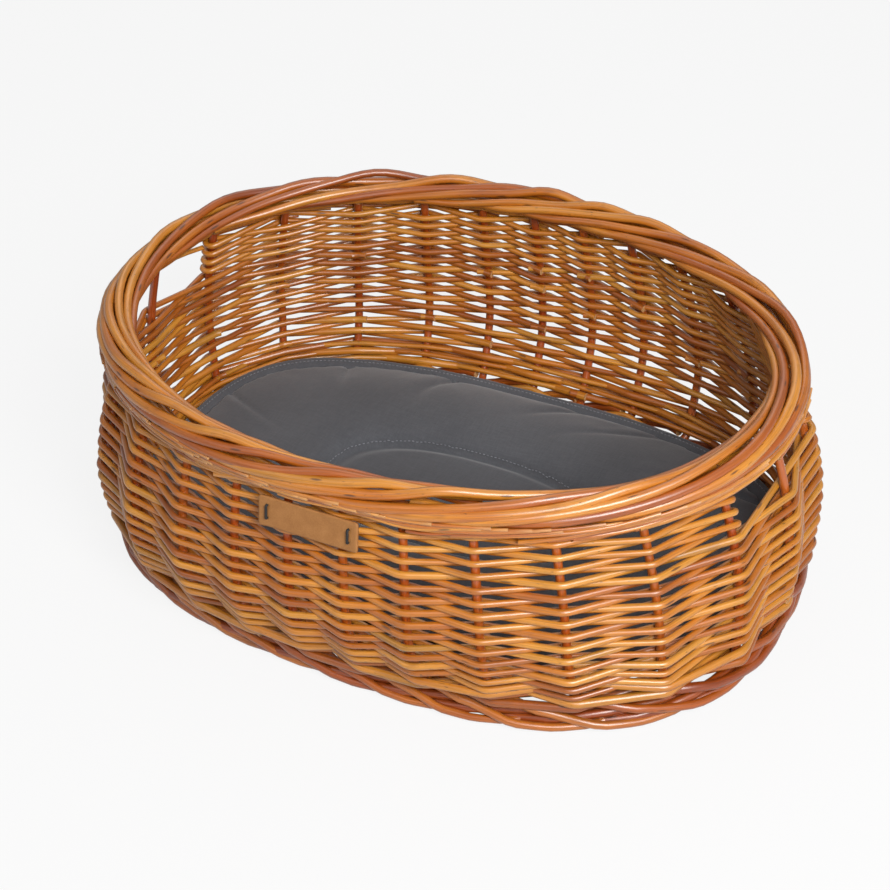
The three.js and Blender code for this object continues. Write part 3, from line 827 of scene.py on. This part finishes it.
def footPlace(s):
    places = foot["places"]
    i = sum(1 for place in places[1:-1] if place[0] <= s)
    before, after = places[i], places[i + 1]
    share = (s - before[0]) / (after[0] - before[0])
    share = smoothStep(0, 1, share) * 0.4 + share * 0.6
    return mixed(before[1:], after[1:], share)


def footRing(u, height):
    return ringPlace(u, wall["footHalf"], wall["footSquareness"], height)


def footRods():
    dice = random.Random(7)
    rods = []
    first, last = foot["places"][0][0], foot["places"][-1][0]
    count = round((last - first) * foot["stepsPerBay"])
    half = stakeCount // 2
    for k in range(stakeCount):
        slip, push = dice.uniform(-0.04, 0.08), dice.uniform(-0.0006, 0.0012)
        thick = dice.uniform(0.9, 1.08)
        path, radii = [], []
        for i in range(count + 1):
            s = first + (last - first) * i / count
            radius = foot["radius"] * thick * (1.04 - 0.08 * s)
            outward, height = footPlace(s)
            spot, out = footRing(k + slip + s, height)
            near = ((k + slip + s - foot["bulgeStake"] + half) % stakeCount - half) / foot["bulgeBays"]
            bulge = foot["bulge"] * math.exp(-near * near) * smoothStep(0.014, 0.006, height)
            spot += out * (outward + push + bulge)
            spot.z = max(spot.z, radius + foot["floorGap"])
            path.append(spot)
            radii.append(radius)
        rods.append(rod(path, radii, dice.random()))
    for strand in range(foot["coreRods"]):
        path = []
        for i in range(stakeCount * 3 + 1):
            turn = fullTurn * (strand / foot["coreRods"] + i / 3 / stakeCount * foot["coreTurns"])
            spot, out = footRing(i / 3, foot["coreHeight"])
            path.append(spot + (out * math.cos(turn) + upward * math.sin(turn)) * foot["coreReach"])
        rods.append(rod(path, [foot["coreRadius"]] * len(path), 0.1))
    return rods


footNodes = [f"foot_strand_{i + 1}" for i in range(3)]
willowPiece("footRods", footRods(), "footWillow", footTones, "willow_foot", footNodes, 12)

# Base: cross sticks that fan out to the stakes, long sticks over them, and the weave between
base = {
    "stickThickness": 0.0064,
    "crossSticks": 10,
    "crossPitch": 0.02,
    "longSticks": 3,
    "longPitch": 0.012,
    "bands": 2,
    "bandWidth": 0.010,
    "bandGap": 0.0012,
    "bandRoom": 2.4,            # band widths that stay free along the shortest stick
    "rodThickness": 0.0046,
    "bend": 0.005,
    "legRounds": [0.02, 0.3, 0.58],
}
stickRadius = base["stickThickness"] / 2
slathDrop = base["stickThickness"] + wall["seatGap"]
slathHalfWidth = (base["longSticks"] - 1) / 2 * base["longPitch"] + base["stickThickness"]
halfCount = stakeCount // 2
stickRays = {}


def stickEnd(u):
    point = legStart(u)
    heading = (wallLine(u)[0][0] - point).normalized()
    return point - heading * wall["seatGap"]


def baseRods():
    dice = random.Random(2)
    rods = []

    def addStick(places):
        path = bentPath(places, base["bend"])
        rods.append(rod(path, [stickRadius] * len(path), dice.random()))

    for i in range(base["crossSticks"]):
        k = i + 1 + (base["longSticks"] - 1) // 2
        x = base["crossPitch"] * ((base["crossSticks"] - 1) / 2 - i)
        ends = {}
        for side in (-1, 1):
            u = stakeCount - k if side < 0 else k
            low = Vector((x, side * slathHalfWidth, stakes["legZ"] - slathDrop))
            rise = Vector((x, side * (slathHalfWidth + 2 * slathDrop), stakes["legZ"]))
            ends[side] = [stickEnd(u), rise, low]
            stickRays[u] = (stickEnd(u), rise)
        addStick(ends[-1] + ends[1][::-1])
    reach = base["crossPitch"] * (base["crossSticks"] / 2 + 0.5)
    for i in range(base["longSticks"]):
        offset = i - (base["longSticks"] - 1) // 2
        left = Vector((-reach, offset * base["longPitch"], stakes["legZ"]))
        right = Vector((reach, offset * base["longPitch"], stakes["legZ"]))
        leftEnd, rightEnd = stickEnd(halfCount - offset), stickEnd(stakeCount + offset)
        stickRays[halfCount - offset] = (leftEnd, left)
        stickRays[(stakeCount + offset) % stakeCount] = (rightEnd, right)
        addStick([leftEnd, left, right, rightEnd])
    return rods


stickNodes = [f"cross_stick_{i + 1:02d}" for i in range(base["crossSticks"])]
stickNodes += [f"long_stick_{i + 1}" for i in range(base["longSticks"])]
willowPiece("baseSticks", baseRods(), "stickWillow", stakeTones, "willow_sticks", stickNodes)

shortestRay = min((end - inner).length for end, inner in stickRays.values())
bandPitch = base["bandWidth"] + base["bandGap"]


# Each band of the solids is two rods side by side here
def weaveRods():
    dice = random.Random(9)
    rods = []
    thickness = base["rodThickness"]
    overStick = stickRadius + thickness / 2 + 2 * wall["touchGap"]
    for number in range(base["bands"]):
        room = shortestRay - base["bandRoom"] * base["bandWidth"] - number * bandPitch
        steps = math.floor(stakeCount * room / (2 * bandPitch))
        for lane in (-1, 1):
            corners = []
            for j in range(steps + 1):
                inwards = base["bandWidth"] * (1 + lane / 4) + (number + 2 * j / stakeCount) * bandPitch
                end, inner = stickRays[j % stakeCount]
                spot = end.lerp(inner, inwards / shortestRay)
                spot.z += overStick if (j + number) % 2 == 0 else -overStick
                corners.append(spot)
            rods.append(taperedRod(bentPath(corners, base["bend"]), thickness, 0.08, number * 3 + lane, dice))
    overLeg = reachOf(thickness)
    for number, share in enumerate(base["legRounds"]):
        corners = []
        for j in range(stakeCount + 1):
            k = j % stakeCount
            spot = legStart(k).lerp(wallLine(k)[0][0], share)
            spot.z += overLeg if (j + number) % 2 else -overLeg
            corners.append(spot)
        rods.append(taperedRod(bentPath(corners, base["bend"]), thickness, 0.05, number * 5 + 9, dice))
    return rods


weaveNodes = ["base_weaver_1", "base_weaver_2"]
willowPiece("baseWeave", weaveRods(), "baseWillow", waleTones, "willow_base", weaveNodes, 8)

# Cushion: grey cloth over padding, with a flat sewn edge and an inner oval sewn down round its outline
cushion = {
    "half": (0.248, 0.159),
    "squareness": 2.9,
    "edgeWidth": 0.0085,
    "edgeThickness": 0.0042,
    "edgeBase": 0.0006,
    "edgeTuck": 0.014,          # how far the sewn edge reaches under the stuffed part
    "edgeLift": 0.006,          # how far the edge rides up at the two ends
    "edgeRipple": 0.0005,
    "edgeSides": 320,
    "seamHalf": (0.113, 0.059),
    "seamSquareness": 2.4,
    "seamRise": 0.004,          # heights over the sewn edge, before the pad swells
    "ringRise": 0.013,
    "ovalRise": 0.006,
    "padRim": 0.0016,           # half of the pad's thickness at its rim
    "padRings": 30,
    "padSides": 128,
    "voxel": 0.005,
    "heldBelow": 0.004,
    "frames": 20,
    "mostMove": 0.009,
    "sewnAbove": 0.0045,
    "seamDepth": 0.0032,
    "seamWidth": 0.0024,
    "seamShift": 0.0016,
    "ovalSlope": 0.0045,
    "ovalShare": 0.25,          # the oval is sewn down to this share of its swell
    "creases": 15,
    "creaseDepth": 0.0036,
    "creaseWidth": 0.0034,
    "creaseReach": 0.03,        # beyond this distance a crease has no effect
    "creaseSlant": 0.6,
    "puff": 0.25,               # the cloth beside a crease stands up by this share of its depth
    "puffPlace": 0.009,
    "unrest": 0.0012,
    "stitchInset": 0.0046,
    "stitchSteps": 720,
    "squeeze": 0.82,            # share of its length that it keeps when it passes the mouth
}
clothSettings = {
    "vertex_group_mass": "held",
    "use_pressure": True,
    "uniform_pressure_force": 4.0,
    "quality": 6,
    "tension_stiffness": 12,
    "compression_stiffness": 12,
    "bending_stiffness": 0.4,
}
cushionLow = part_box("cushion")[0].z


def ovalSize(x, y, half, squareness):
    return (abs(x / half[0]) ** squareness + abs(y / half[1]) ** squareness) ** (1 / squareness)


def inset(half, amount):
    return (half[0] - amount, half[1] - amount)


padHalf = inset(cushion["half"], cushion["edgeWidth"])


# A place measured against the pad's outline and the oval's: under 1 inside, over 1 outside
def outlineSizes(x, y):
    outer = ovalSize(x, y, padHalf, cushion["squareness"])
    return outer, ovalSize(x, y, cushion["seamHalf"], cushion["seamSquareness"])


def edgeLift(x):
    return cushion["edgeLift"] * smoothStep(0.55, 1.0, abs(x) / cushion["half"][0])


# Height of the cushion's top before it swells: 0 at the sewn edge, up over the ring, down to the oval
def topRise(x, y):
    outer, inner = outlineSizes(x, y)
    if inner < 1:
        return cushion["seamRise"] + cushion["ovalRise"] * (1 - inner ** 2.2)
    share = min((inner - 1) / max(inner - 1 + (1 - outer) * inner * 1.2, 1e-6), 1)
    ring = max(math.sin(math.pi * share ** 0.8), 0) ** 0.7
    return cushion["seamRise"] * (1 - share) + cushion["ringRise"] * ring


def meshFrom(made, name):
    mesh = bpy.data.meshes.new(name)
    made.to_mesh(mesh)
    made.free()
    return mesh


def padMesh():
    made = bmesh.new()
    rings, sides, rim = cushion["padRings"], cushion["padSides"], cushion["padRim"]

    def corner(flat, share, isTop):
        z = cushionLow + rim + edgeLift(flat.x) * share ** 4
        if isTop:
            z += rim + topRise(flat.x, flat.y)
        return made.verts.new((flat.x, flat.y, z))

    rims = []
    for isTop in (True, False):
        grid = []
        for r in range(1, rings + 1):
            share = r / rings
            flats = [ovalPoint(i / sides * fullTurn, padHalf, cushion["squareness"]) for i in range(sides)]
            grid.append([corner(flat * share, share, isTop) for flat in flats])
        middle = corner(Vector((0, 0, 0)), 0, isTop)
        for i in range(sides):
            n = (i + 1) % sides
            faces = [(middle, grid[0][i], grid[0][n])]
            faces += [(a[i], b[i], b[n], a[n]) for a, b in zip(grid, grid[1:])]
            for face in faces:
                made.faces.new(face if isTop else face[::-1])
        rims.append(grid[-1])
    topRim, lowRim = rims
    for i in range(sides):
        n = (i + 1) % sides
        made.faces.new((topRim[i], lowRim[i], lowRim[n], topRim[n]))
    return meshFrom(made, "cushionPad")


# Stuffs the pad: voxel remesh, then cloth under pressure, held at its seams and on the base
def swollen(mesh):
    pad = placed("cushionPad", mesh)
    remesh = pad.modifiers.new("even", "REMESH")
    remesh.mode = "VOXEL"
    remesh.voxel_size = cushion["voxel"]
    even = flattened(pad)
    rest = [v.co.copy() for v in even.vertices]
    held = pad.vertex_groups.new(name="held")
    for v in even.vertices:
        outer, inner = outlineSizes(v.co.x, v.co.y)
        isLow = v.co.z < cushionLow + cushion["heldBelow"]
        if outer > 0.985 or isLow or abs(inner - 1) < 0.02:
            held.add([v.index], 1.0, "REPLACE")
    cloth = pad.modifiers.new("swell", "CLOTH")
    for name, value in clothSettings.items():
        setattr(cloth.settings, name, value)
    cloth.settings.effector_weights.gravity = 0
    cloth.point_cache.frame_start = 1
    cloth.point_cache.frame_end = cushion["frames"]
    for number in range(1, cushion["frames"] + 1):
        scene.frame_set(number)
    done = flattened(pad)
    for v, start in zip(done.vertices, rest):
        move = v.co - start
        if move.length > cushion["mostMove"]:
            v.co = start + move.normalized() * cushion["mostMove"]
    scene.frame_set(1)
    return pad


def smoothedOnce(piece):
    levels = piece.modifiers.new("finer", "SUBSURF")
    levels.levels = 1
    levels.render_levels = 1
    flattened(piece)


# Sews the inner oval down and presses slanting creases into the ring, each from the edge inwards
def sewn(mesh):
    dice = random.Random(17)
    count = cushion["creases"]
    turns = [(i + dice.uniform(-0.32, 0.32)) / count * fullTurn - math.pi for i in range(count)]
    depths = [cushion["creaseDepth"] * dice.uniform(0.45, 1.15) for i in range(count)]
    lengths = [dice.uniform(0.5, 0.72) for i in range(count)]
    seamLevel = cushionLow + cushion["seamRise"] + 2 * cushion["padRim"]
    for v in mesh.vertices:
        x, y, z = v.co
        if z < cushionLow + cushion["sewnAbove"]:
            continue
        outer, inner = outlineSizes(x, y)
        away = (inner - 1) * min(cushion["seamHalf"]) + cushion["seamShift"]
        if inner < 1:
            v.co.z = seamLevel + (v.co.z - seamLevel) * cushion["ovalShare"]
        width = cushion["seamWidth"] if away > 0 else cushion["ovalSlope"]
        v.co.z -= cushion["seamDepth"] * math.exp(-(away / width) ** 2)
        if inner > 1 and outer < 1:
            angle = math.atan2(y / padHalf[1], x / padHalf[0]) - cushion["creaseSlant"] * (1 - outer)
            radius = math.hypot(x, y)
            for turn, depth, length in zip(turns, depths, lengths):
                aside = ((angle - turn + math.pi) % fullTurn - math.pi) * radius
                if abs(aside) > cushion["creaseReach"]:
                    continue
                beside = (aside - cushion["puffPlace"]) / cushion["puffPlace"]
                strength = depth * smoothStep(length, 0.94, outer) * smoothStep(1.02, 1.2, inner)
                v.co.z -= strength * math.exp(-abs(aside) / cushion["creaseWidth"])
                v.co.z += strength * cushion["puff"] * math.exp(-beside ** 2)
            soft = smoothStep(1, 0.85, outer) * smoothStep(1.02, 1.35, inner)
            v.co.z += cushion["unrest"] * soft * wavering(x * 11, y * 11, 2.0)


# The sewn edge: rings from under the pad round the outside and back, with how far in and how high
def edgeMesh():
    made = bmesh.new()
    thick, sides = cushion["edgeThickness"], cushion["edgeSides"]
    tuck = cushion["edgeWidth"] + cushion["edgeTuck"]
    rings = [
        (tuck, 0.0002), (tuck / 2, 0.0), (0.0012, 0.0002), (0.0, thick * 0.35), (0.0, thick * 0.65),
        (0.0012, thick * 0.96), (0.003, thick * 1.04), (cushion["stitchInset"], thick * 0.88),
        (0.0062, thick), (0.0078, thick * 0.7), (tuck, thick * 0.4),
    ]
    grid = []
    for amount, height in rings:
        row = []
        for i in range(sides):
            flat = ovalPoint(i / sides * fullTurn, inset(cushion["half"], amount), cushion["squareness"])
            ripple = cushion["edgeRipple"] * wavering(flat.x * 45, flat.y * 45, 7.0)
            z = cushionLow + cushion["edgeBase"] + height + ripple * (height > 0.001)
            row.append(made.verts.new((flat.x, flat.y, z + edgeLift(flat.x))))
        grid.append(row)
    grid.append(grid[0])
    for a, b in zip(grid, grid[1:]):
        for i in range(sides):
            n = (i + 1) % sides
            made.faces.new((a[i], a[n], b[n], b[i]))
    bmesh.ops.recalc_face_normals(made, faces=made.faces)
    return meshFrom(made, "cushionEdge")


clothLook = {
    "threads": 5200.0,
    "warpSlubs": (1400, 120, 300),
    "weftSlubs": (120, 1400, 300),
    "clouds": 16.0,
    "tones": ((0.25, tint(66, 67, 71)), (0.5, tint(80, 81, 85)), (0.8, tint(95, 96, 100))),
    # painted shade: the dark grey that the cloth turns to towards the bottom of the cushion
    "underside": tint(34, 35, 40),
    "surface": {
        "Roughness": 0.95,
        "Sheen Weight": 0.25,
        "Sheen Roughness": 0.5,
        "Specular IOR Level": 0.25,
    },
}


def clothMaterial():
    look = clothLook
    material, graph, shader = newMaterial("cushionCloth")
    place = objectPlace(graph)
    x, y, z = (graph.node("ShaderNodeSeparateXYZ", {}, {0: place}, output=axis) for axis in "XYZ")
    warp, weft = (graph.maths("SINE", across * look["threads"]) for across in (x, y))
    slubs = place.cloudy(1.0, 2.0, look["warpSlubs"]) + place.cloudy(1.0, 2.0, look["weftSlubs"])
    top = (slubs * 0.32 + place.cloudy(look["clouds"], 3.0) * 0.36).ramp(*look["tones"])
    # Painted shade: near its bottom the cloth blends into a dark grey, so its lower sides look shaded
    inputs = {0: z, 1: cushionLow + 0.0004, 2: cushionLow + 0.0014, 3: 0.2, 4: 1.0}
    shade = graph.node("ShaderNodeMapRange", {}, inputs)
    feed(blended(shade, look["underside"], top), shader, "Base Color")
    bump(warp * weft * 0.3 + slubs * 0.5, shader, 0.5, 0.0003)
    setInputs(shader, look["surface"])
    return material


cushionPiece = swollen(padMesh())
smoothedOnce(cushionPiece)
sewn(cushionPiece.data)
joined = bmesh.new()
joined.from_mesh(cushionPiece.data)
joined.from_mesh(edgeMesh())
for face in joined.faces:
    face.smooth = True
cushionTree = BVHTree.FromBMesh(joined)
cushionPiece.data = meshFrom(joined, "cushionPad")
cushionPiece.data.materials.append(clothMaterial())
settle(cushionPiece, "cushion", "grey_cloth", "cushion")


# Stitches: small round-ended threads along a line, sunk a little into the cloth
def stitchTree():
    tree, graph, given = newTree("stitchRow", [
        ("Pitch", "Float"), ("Stitch length", "Float"), ("Stitch thickness", "Float"),
        ("Seed", "Int"), ("Thread", "Material"),
    ])
    curve = graph.node("GeometryNodeMeshToCurve", {}, {0: given["Geometry"]})
    inputs = {"Curve": curve, "Length": given["Pitch"]}
    curve = graph.node("GeometryNodeResampleCurve", {"mode": "LENGTH"}, inputs)
    ball = graph.node("GeometryNodeMeshUVSphere", {}, {"Segments": 6, "Rings": 4, "Radius": 0.5})
    settings = {"primary_axis": "X", "secondary_axis": "Z"}
    inputs = {0: graph.node("GeometryNodeInputTangent"), 1: (0.0, 0.0, 1.0)}
    turn = graph.node("FunctionNodeAxesToRotation", settings, inputs)
    thick = given["Stitch thickness"]
    inputs = {"X": given["Stitch length"], "Y": thick, "Z": thick}
    size = graph.node("ShaderNodeCombineXYZ", {}, inputs)
    inputs = {2: 0.88, 3: 1.08, "Seed": given["Seed"]}
    grow = graph.node("FunctionNodeRandomValue", {"data_type": "FLOAT"}, inputs, output=1)
    inputs = {"Points": curve, "Instance": ball, "Rotation": turn, "Scale": size.scaled(grow)}
    rows = graph.node("GeometryNodeInstanceOnPoints", {}, inputs)
    rows = graph.node("GeometryNodeRealizeInstances", {}, {0: rows})
    rows = graph.node("GeometryNodeSetShadeSmooth", {}, {"Geometry": rows})
    inputs = {"Geometry": rows, "Material": given["Thread"]}
    endTree(tree, graph.node("GeometryNodeSetMaterial", {}, inputs))
    return tree


# One line of stitches along the sewn edge and one along the oval, on the cloth
def stitchLines():
    points, edges = [], []
    lines = [
        (inset(cushion["half"], cushion["stitchInset"]), cushion["squareness"], 0.0001),
        (inset(cushion["seamHalf"], -0.0008), cushion["seamSquareness"], 0.0002),
    ]
    for half, squareness, rise in lines:
        first, count = len(points), cushion["stitchSteps"]
        for i in range(count):
            flat = ovalPoint(i / count * fullTurn, half, squareness)
            hit = cushionTree.ray_cast(flat + upward, -upward)
            points.append((flat.x, flat.y, hit[0].z + rise))
            edges.append((first + i, first + (i + 1) % count))
    mesh = bpy.data.meshes.new("cushionStitches")
    mesh.from_pydata(points, edges, [])
    return mesh


def threadTwist(graph):
    return objectPlace(graph).cloudy(1800.0, 2.0)


threadStops = [(0.3, tint(104, 106, 112)), (0.7, tint(140, 142, 148))]
stitchValues = {
    "Pitch": 0.0034,
    "Stitch length": 0.0024,
    "Stitch thickness": 0.0008,
    "Seed": 4,
    "Thread": mottledMaterial("greyThread", threadTwist, threadStops, 0.8, None),
}
stitchPiece = grown("cushionStitches", stitchLines(), stitchTree(), stitchValues)
settle(stitchPiece, "cushion", "grey_cloth")
for piece in (cushionPiece, stitchPiece):
    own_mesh(piece)

# Label: a bare leather strip across the two middle stakes of the front
label = {
    "length": 0.078,
    "height": 0.023,
    "thickness": 0.002,
    "drop": 0.0175,
    "columns": 104,
    "rows": 32,
    "edgeRound": 0.0012,
    "edgeThinning": 0.28,
    "cornerRound": 0.002,
    "dentRadius": 0.0016,       # the leather sinks where a tie passes through
    "dentDepth": 0.0007,
    "tieThickness": 0.002,
    "tieSpan": 0.0095,
    "tieInset": 0.007,
    "tieSink": 0.0002,
    "tieEnd": -0.0004,
    "tieBend": 0.0012,
}
labelRun = wallRun - label["drop"]
leftPlace, rightPlace = wallPlace(19, labelRun), wallPlace(20, labelRun)
labelOut = (leftPlace[1] + rightPlace[1]).normalized()
labelAlong = (rightPlace[0] - leftPlace[0]).normalized()
labelUp = labelOut.cross(labelAlong).normalized()
touch = stakeRadius + panels["solidThickness"] / 2
neighbours = (wallPlace(18, labelRun)[0] - leftPlace[0], rightPlace[0] - leftPlace[0])
spacing = min(side.length for side in neighbours)
wallTurn = (math.pi - neighbours[0].angle(neighbours[1])) / 2
labelReach = touch / math.cos(abs(math.atan2(2 * touch + wall["seatGap"], spacing) + wallTurn))
labelReach += panels["thickness"] - panels["solidThickness"] / 2 + 2 * wall["seatGap"]
labelBack = (leftPlace[0] + rightPlace[0]) / 2 + labelOut * labelReach


def onLabel(x, y, depth):
    return labelBack + labelAlong * x + labelUp * y + labelOut * depth


# Every corner of the strip's front: place along and up, and height over its back
def labelGrid():
    half = (label["length"] / 2, label["height"] / 2)
    ends = half[0] - label["tieInset"]
    holes = [(end * ends, row * label["tieSpan"] / 2) for end in (-1, 1) for row in (-1, 1)]
    grid = []
    for j in range(label["rows"] + 1):
        line = []
        for i in range(label["columns"] + 1):
            x = -half[0] + 2 * half[0] * i / label["columns"]
            y = -half[1] + 2 * half[1] * j / label["rows"]
            margins = (abs(x) - half[0], abs(y) - half[1])
            away = max(*(margin + label["edgeRound"] for margin in margins), 0) / label["edgeRound"]
            across, upwards = (max(margin + label["cornerRound"], 0) for margin in margins)
            corner = across * upwards / label["cornerRound"]
            x -= math.copysign(corner * 0.3, x)
            y -= math.copysign(corner * 0.3, y)
            spread = label["dentRadius"] ** 2
            dent = sum(math.exp(-((x - a) ** 2 + (y - b) ** 2) / spread) for a, b in holes)
            depth = label["thickness"] * (1 - label["edgeThinning"] * away ** 2) - label["dentDepth"] * dent
            line.append((x, y, depth))
        grid.append(line)
    return grid


def labelMesh():
    made = bmesh.new()
    grid = labelGrid()
    columns, rows = label["columns"], label["rows"]
    front = [[made.verts.new(onLabel(x, y, depth)) for x, y, depth in line] for line in grid]
    rear = [[made.verts.new(onLabel(x, y, 0.0)) for x, y, depth in line] for line in grid]
    for j in range(rows):
        for i in range(columns):
            made.faces.new((front[j][i], front[j][i + 1], front[j + 1][i + 1], front[j + 1][i]))
            made.faces.new((rear[j][i], rear[j + 1][i], rear[j + 1][i + 1], rear[j][i + 1]))
    rim = [(0, i) for i in range(columns)] + [(j, columns) for j in range(rows)]
    rim += [(rows, i) for i in range(columns, 0, -1)] + [(j, 0) for j in range(rows, 0, -1)]
    for (a, b), (c, d) in zip(rim, rim[1:] + rim[:1]):
        made.faces.new((front[a][b], rear[a][b], rear[c][d], front[c][d]))
    bmesh.ops.recalc_face_normals(made, faces=made.faces)
    for face in made.faces:
        face.smooth = True
    mesh = meshFrom(made, "labelStrip")
    spots = [value for line in grid for x, y, depth in line for value in (x, y, 0.0)]
    mesh.attributes.new("labelSpot", "FLOAT_VECTOR", "POINT").data.foreach_set("vector", spots * 2)
    return mesh


def leatherMaterial():
    material, graph, shader = newMaterial("labelLeather")
    place = attribute(graph, "labelSpot")
    inputs = {"Vector": place, "Scale": 1500.0}
    pores = graph.node("ShaderNodeTexVoronoi", {}, inputs, output="Distance")
    clouds, fibres = place.cloudy(110.0, 4.0), place.cloudy(900.0, 3.0)
    stops = [(0.25, tint(140, 90, 42)), (0.5, tint(158, 106, 54)), (0.75, tint(172, 120, 68))]
    feed((clouds * 0.6 + fibres * 0.4).ramp(*stops), shader, "Base Color")
    feed(clouds * 0.2 + 0.52, shader, "Roughness")
    bump(pores * 0.6 + fibres * 0.5, shader, 0.45, 0.00025)
    return material


labelPiece = placed("labelStrip", labelMesh())
labelPiece.data.materials.append(leatherMaterial())
settle(labelPiece, "basket", "tan_leather", "label")


def cordFibres(graph):
    return attribute(graph, "rodPlace").cloudy(1.0, 2.0, (900, 900, 1600))


# Ties: each is one stitch of cord through two holes of the label
cordStops = [(0.3, tint(16, 15, 15)), (0.75, tint(52, 48, 46))]
cordMaterial = mottledMaterial("blackCord", cordFibres, cordStops, 0.75, (0.8, 0.0004))
tieRods = []
for number, end in enumerate((-1, 1)):
    x = end * (label["length"] / 2 - label["tieInset"])
    front = label["thickness"] + label["tieThickness"] / 2 - label["tieSink"]
    spots = [(-1, label["tieEnd"]), (-1, front), (1, front), (1, label["tieEnd"])]
    corners = [onLabel(x, row * label["tieSpan"] / 2, depth) for row, depth in spots]
    path = bentPath(corners, label["tieBend"])
    tieRods.append(rod(path, [label["tieThickness"] / 2 * 0.95] * len(path), 0.3 * number))
tiePiece = rodPiece("labelTies", tieRods, cordMaterial, unevenness=0.00008)
settle(tiePiece, "basket", "black_cord", "label_tie_1", "label_tie_2")

# Camera at the photograph's viewing angle
view = {
    "azimuth": 30.4,
    "elevation": 36.8,
    "roll": -3.6,
    "distance": 1.7974,
    "target": (-0.0023, -0.0063, 0.0921),
    "focalPixels": 2402.4,
    "imagePixels": 890,
    "sensor": 36.0,
}


def makeCamera():
    azimuth, elevation, roll = (math.radians(view[key]) for key in ("azimuth", "elevation", "roll"))
    flat = math.cos(elevation)
    back = Vector((math.sin(azimuth) * flat, -math.cos(azimuth) * flat, math.sin(elevation)))
    right = Vector((math.cos(azimuth), math.sin(azimuth), 0))
    up = back.cross(right)
    turnedRight = right * math.cos(roll) + up * math.sin(roll)
    turnedUp = up * math.cos(roll) - right * math.sin(roll)
    camera = placed("photoCamera", bpy.data.cameras.new("photoCamera"))
    axes = Matrix((turnedRight, turnedUp, back)).transposed().to_4x4()
    camera.matrix_world = Matrix.Translation(Vector(view["target"]) + back * view["distance"]) @ axes
    camera.data.sensor_width = view["sensor"]
    camera.data.lens = view["focalPixels"] / view["imagePixels"] * view["sensor"]
    camera.data.clip_start = 0.05
    camera.data.clip_end = 50
    scene.camera = camera


# Lamps: a strong one from the right, and weak ones from the left, above and behind, in a pale world
lamps = {
    "right": {"place": (1.33, -1.08, 1.5), "size": 1.0, "power": 54},
    "left": {"place": (-0.98, -1.4, 1.6), "size": 1.7, "power": 6},
    "top": {"place": (0.2, 0.3, 2.6), "size": 1.6, "power": 3},
    "back": {"place": (-0.9, 1.8, 2.2), "size": 2.2, "power": 12},
}
worldStrength = 0.21


# Rays that see the white background: those from the camera, and mirrored ones faintly
def seenRays(graph):
    kinds = ("Is Camera Ray", "Is Transmission Ray", "Is Glossy Ray")
    camera, clear, glossy = (graph.node("ShaderNodeLightPath", output=kind) for kind in kinds)
    return graph.maths("MAXIMUM", graph.maths("MAXIMUM", camera, clear), glossy * 0.12)


def makeLight():
    for name, lamp in lamps.items():
        light = placed(name, bpy.data.lights.new(name, "AREA"))
        light.data.shape = "DISK"
        light.data.size = lamp["size"]
        light.data.energy = lamp["power"]
        light.location = lamp["place"]
        light.rotation_euler = (-Vector(lamp["place"])).to_track_quat("-Z", "Y").to_euler()
    world = bpy.data.worlds.new("paleStudio")
    world.use_nodes = True
    scene.world = world
    background = world.node_tree.nodes["Background"]
    setInputs(background, {"Color": grey(1.0)})
    strength = seenRays(Wire(world.node_tree)) * (1 - worldStrength) + worldStrength
    feed(strength, background, "Strength")


# Floor: white to the camera where the light falls, and it keeps the object's shadow
floorLook = {
    "size": 6.0,
    "glow": 0.86,
    "surface": {
        "Base Color": grey(0.62),
        "Roughness": 0.9,
        "Specular IOR Level": 0.0,
        "Emission Color": grey(1.0),
    },
}


def makeFloor():
    mesh = bpy.data.meshes.new("studioFloor")
    size = floorLook["size"]
    corners = [(x * size, y * size, 0) for x, y in ((-1, -1), (1, -1), (1, 1), (-1, 1))]
    mesh.from_pydata(corners, [], [(0, 1, 2, 3)])
    material, graph, shader = newMaterial("paleFloor")
    setInputs(shader, floorLook["surface"])
    glow = graph.node("ShaderNodeEmission", {}, {"Color": grey(1.0), "Strength": 1.0})
    inputs = {0: seenRays(graph) * floorLook["glow"], 1: Wire(graph.tree, shader.outputs[0]), 2: glow}
    share = graph.node("ShaderNodeMixShader", {}, inputs)
    feed(share, graph.tree.nodes["Material Output"], "Surface")
    mesh.materials.append(material)
    placed("studioFloor", mesh)


makeCamera()
makeLight()
makeFloor()
scene.view_settings.view_transform = "Standard"
print("camera, lamps and floor ready")
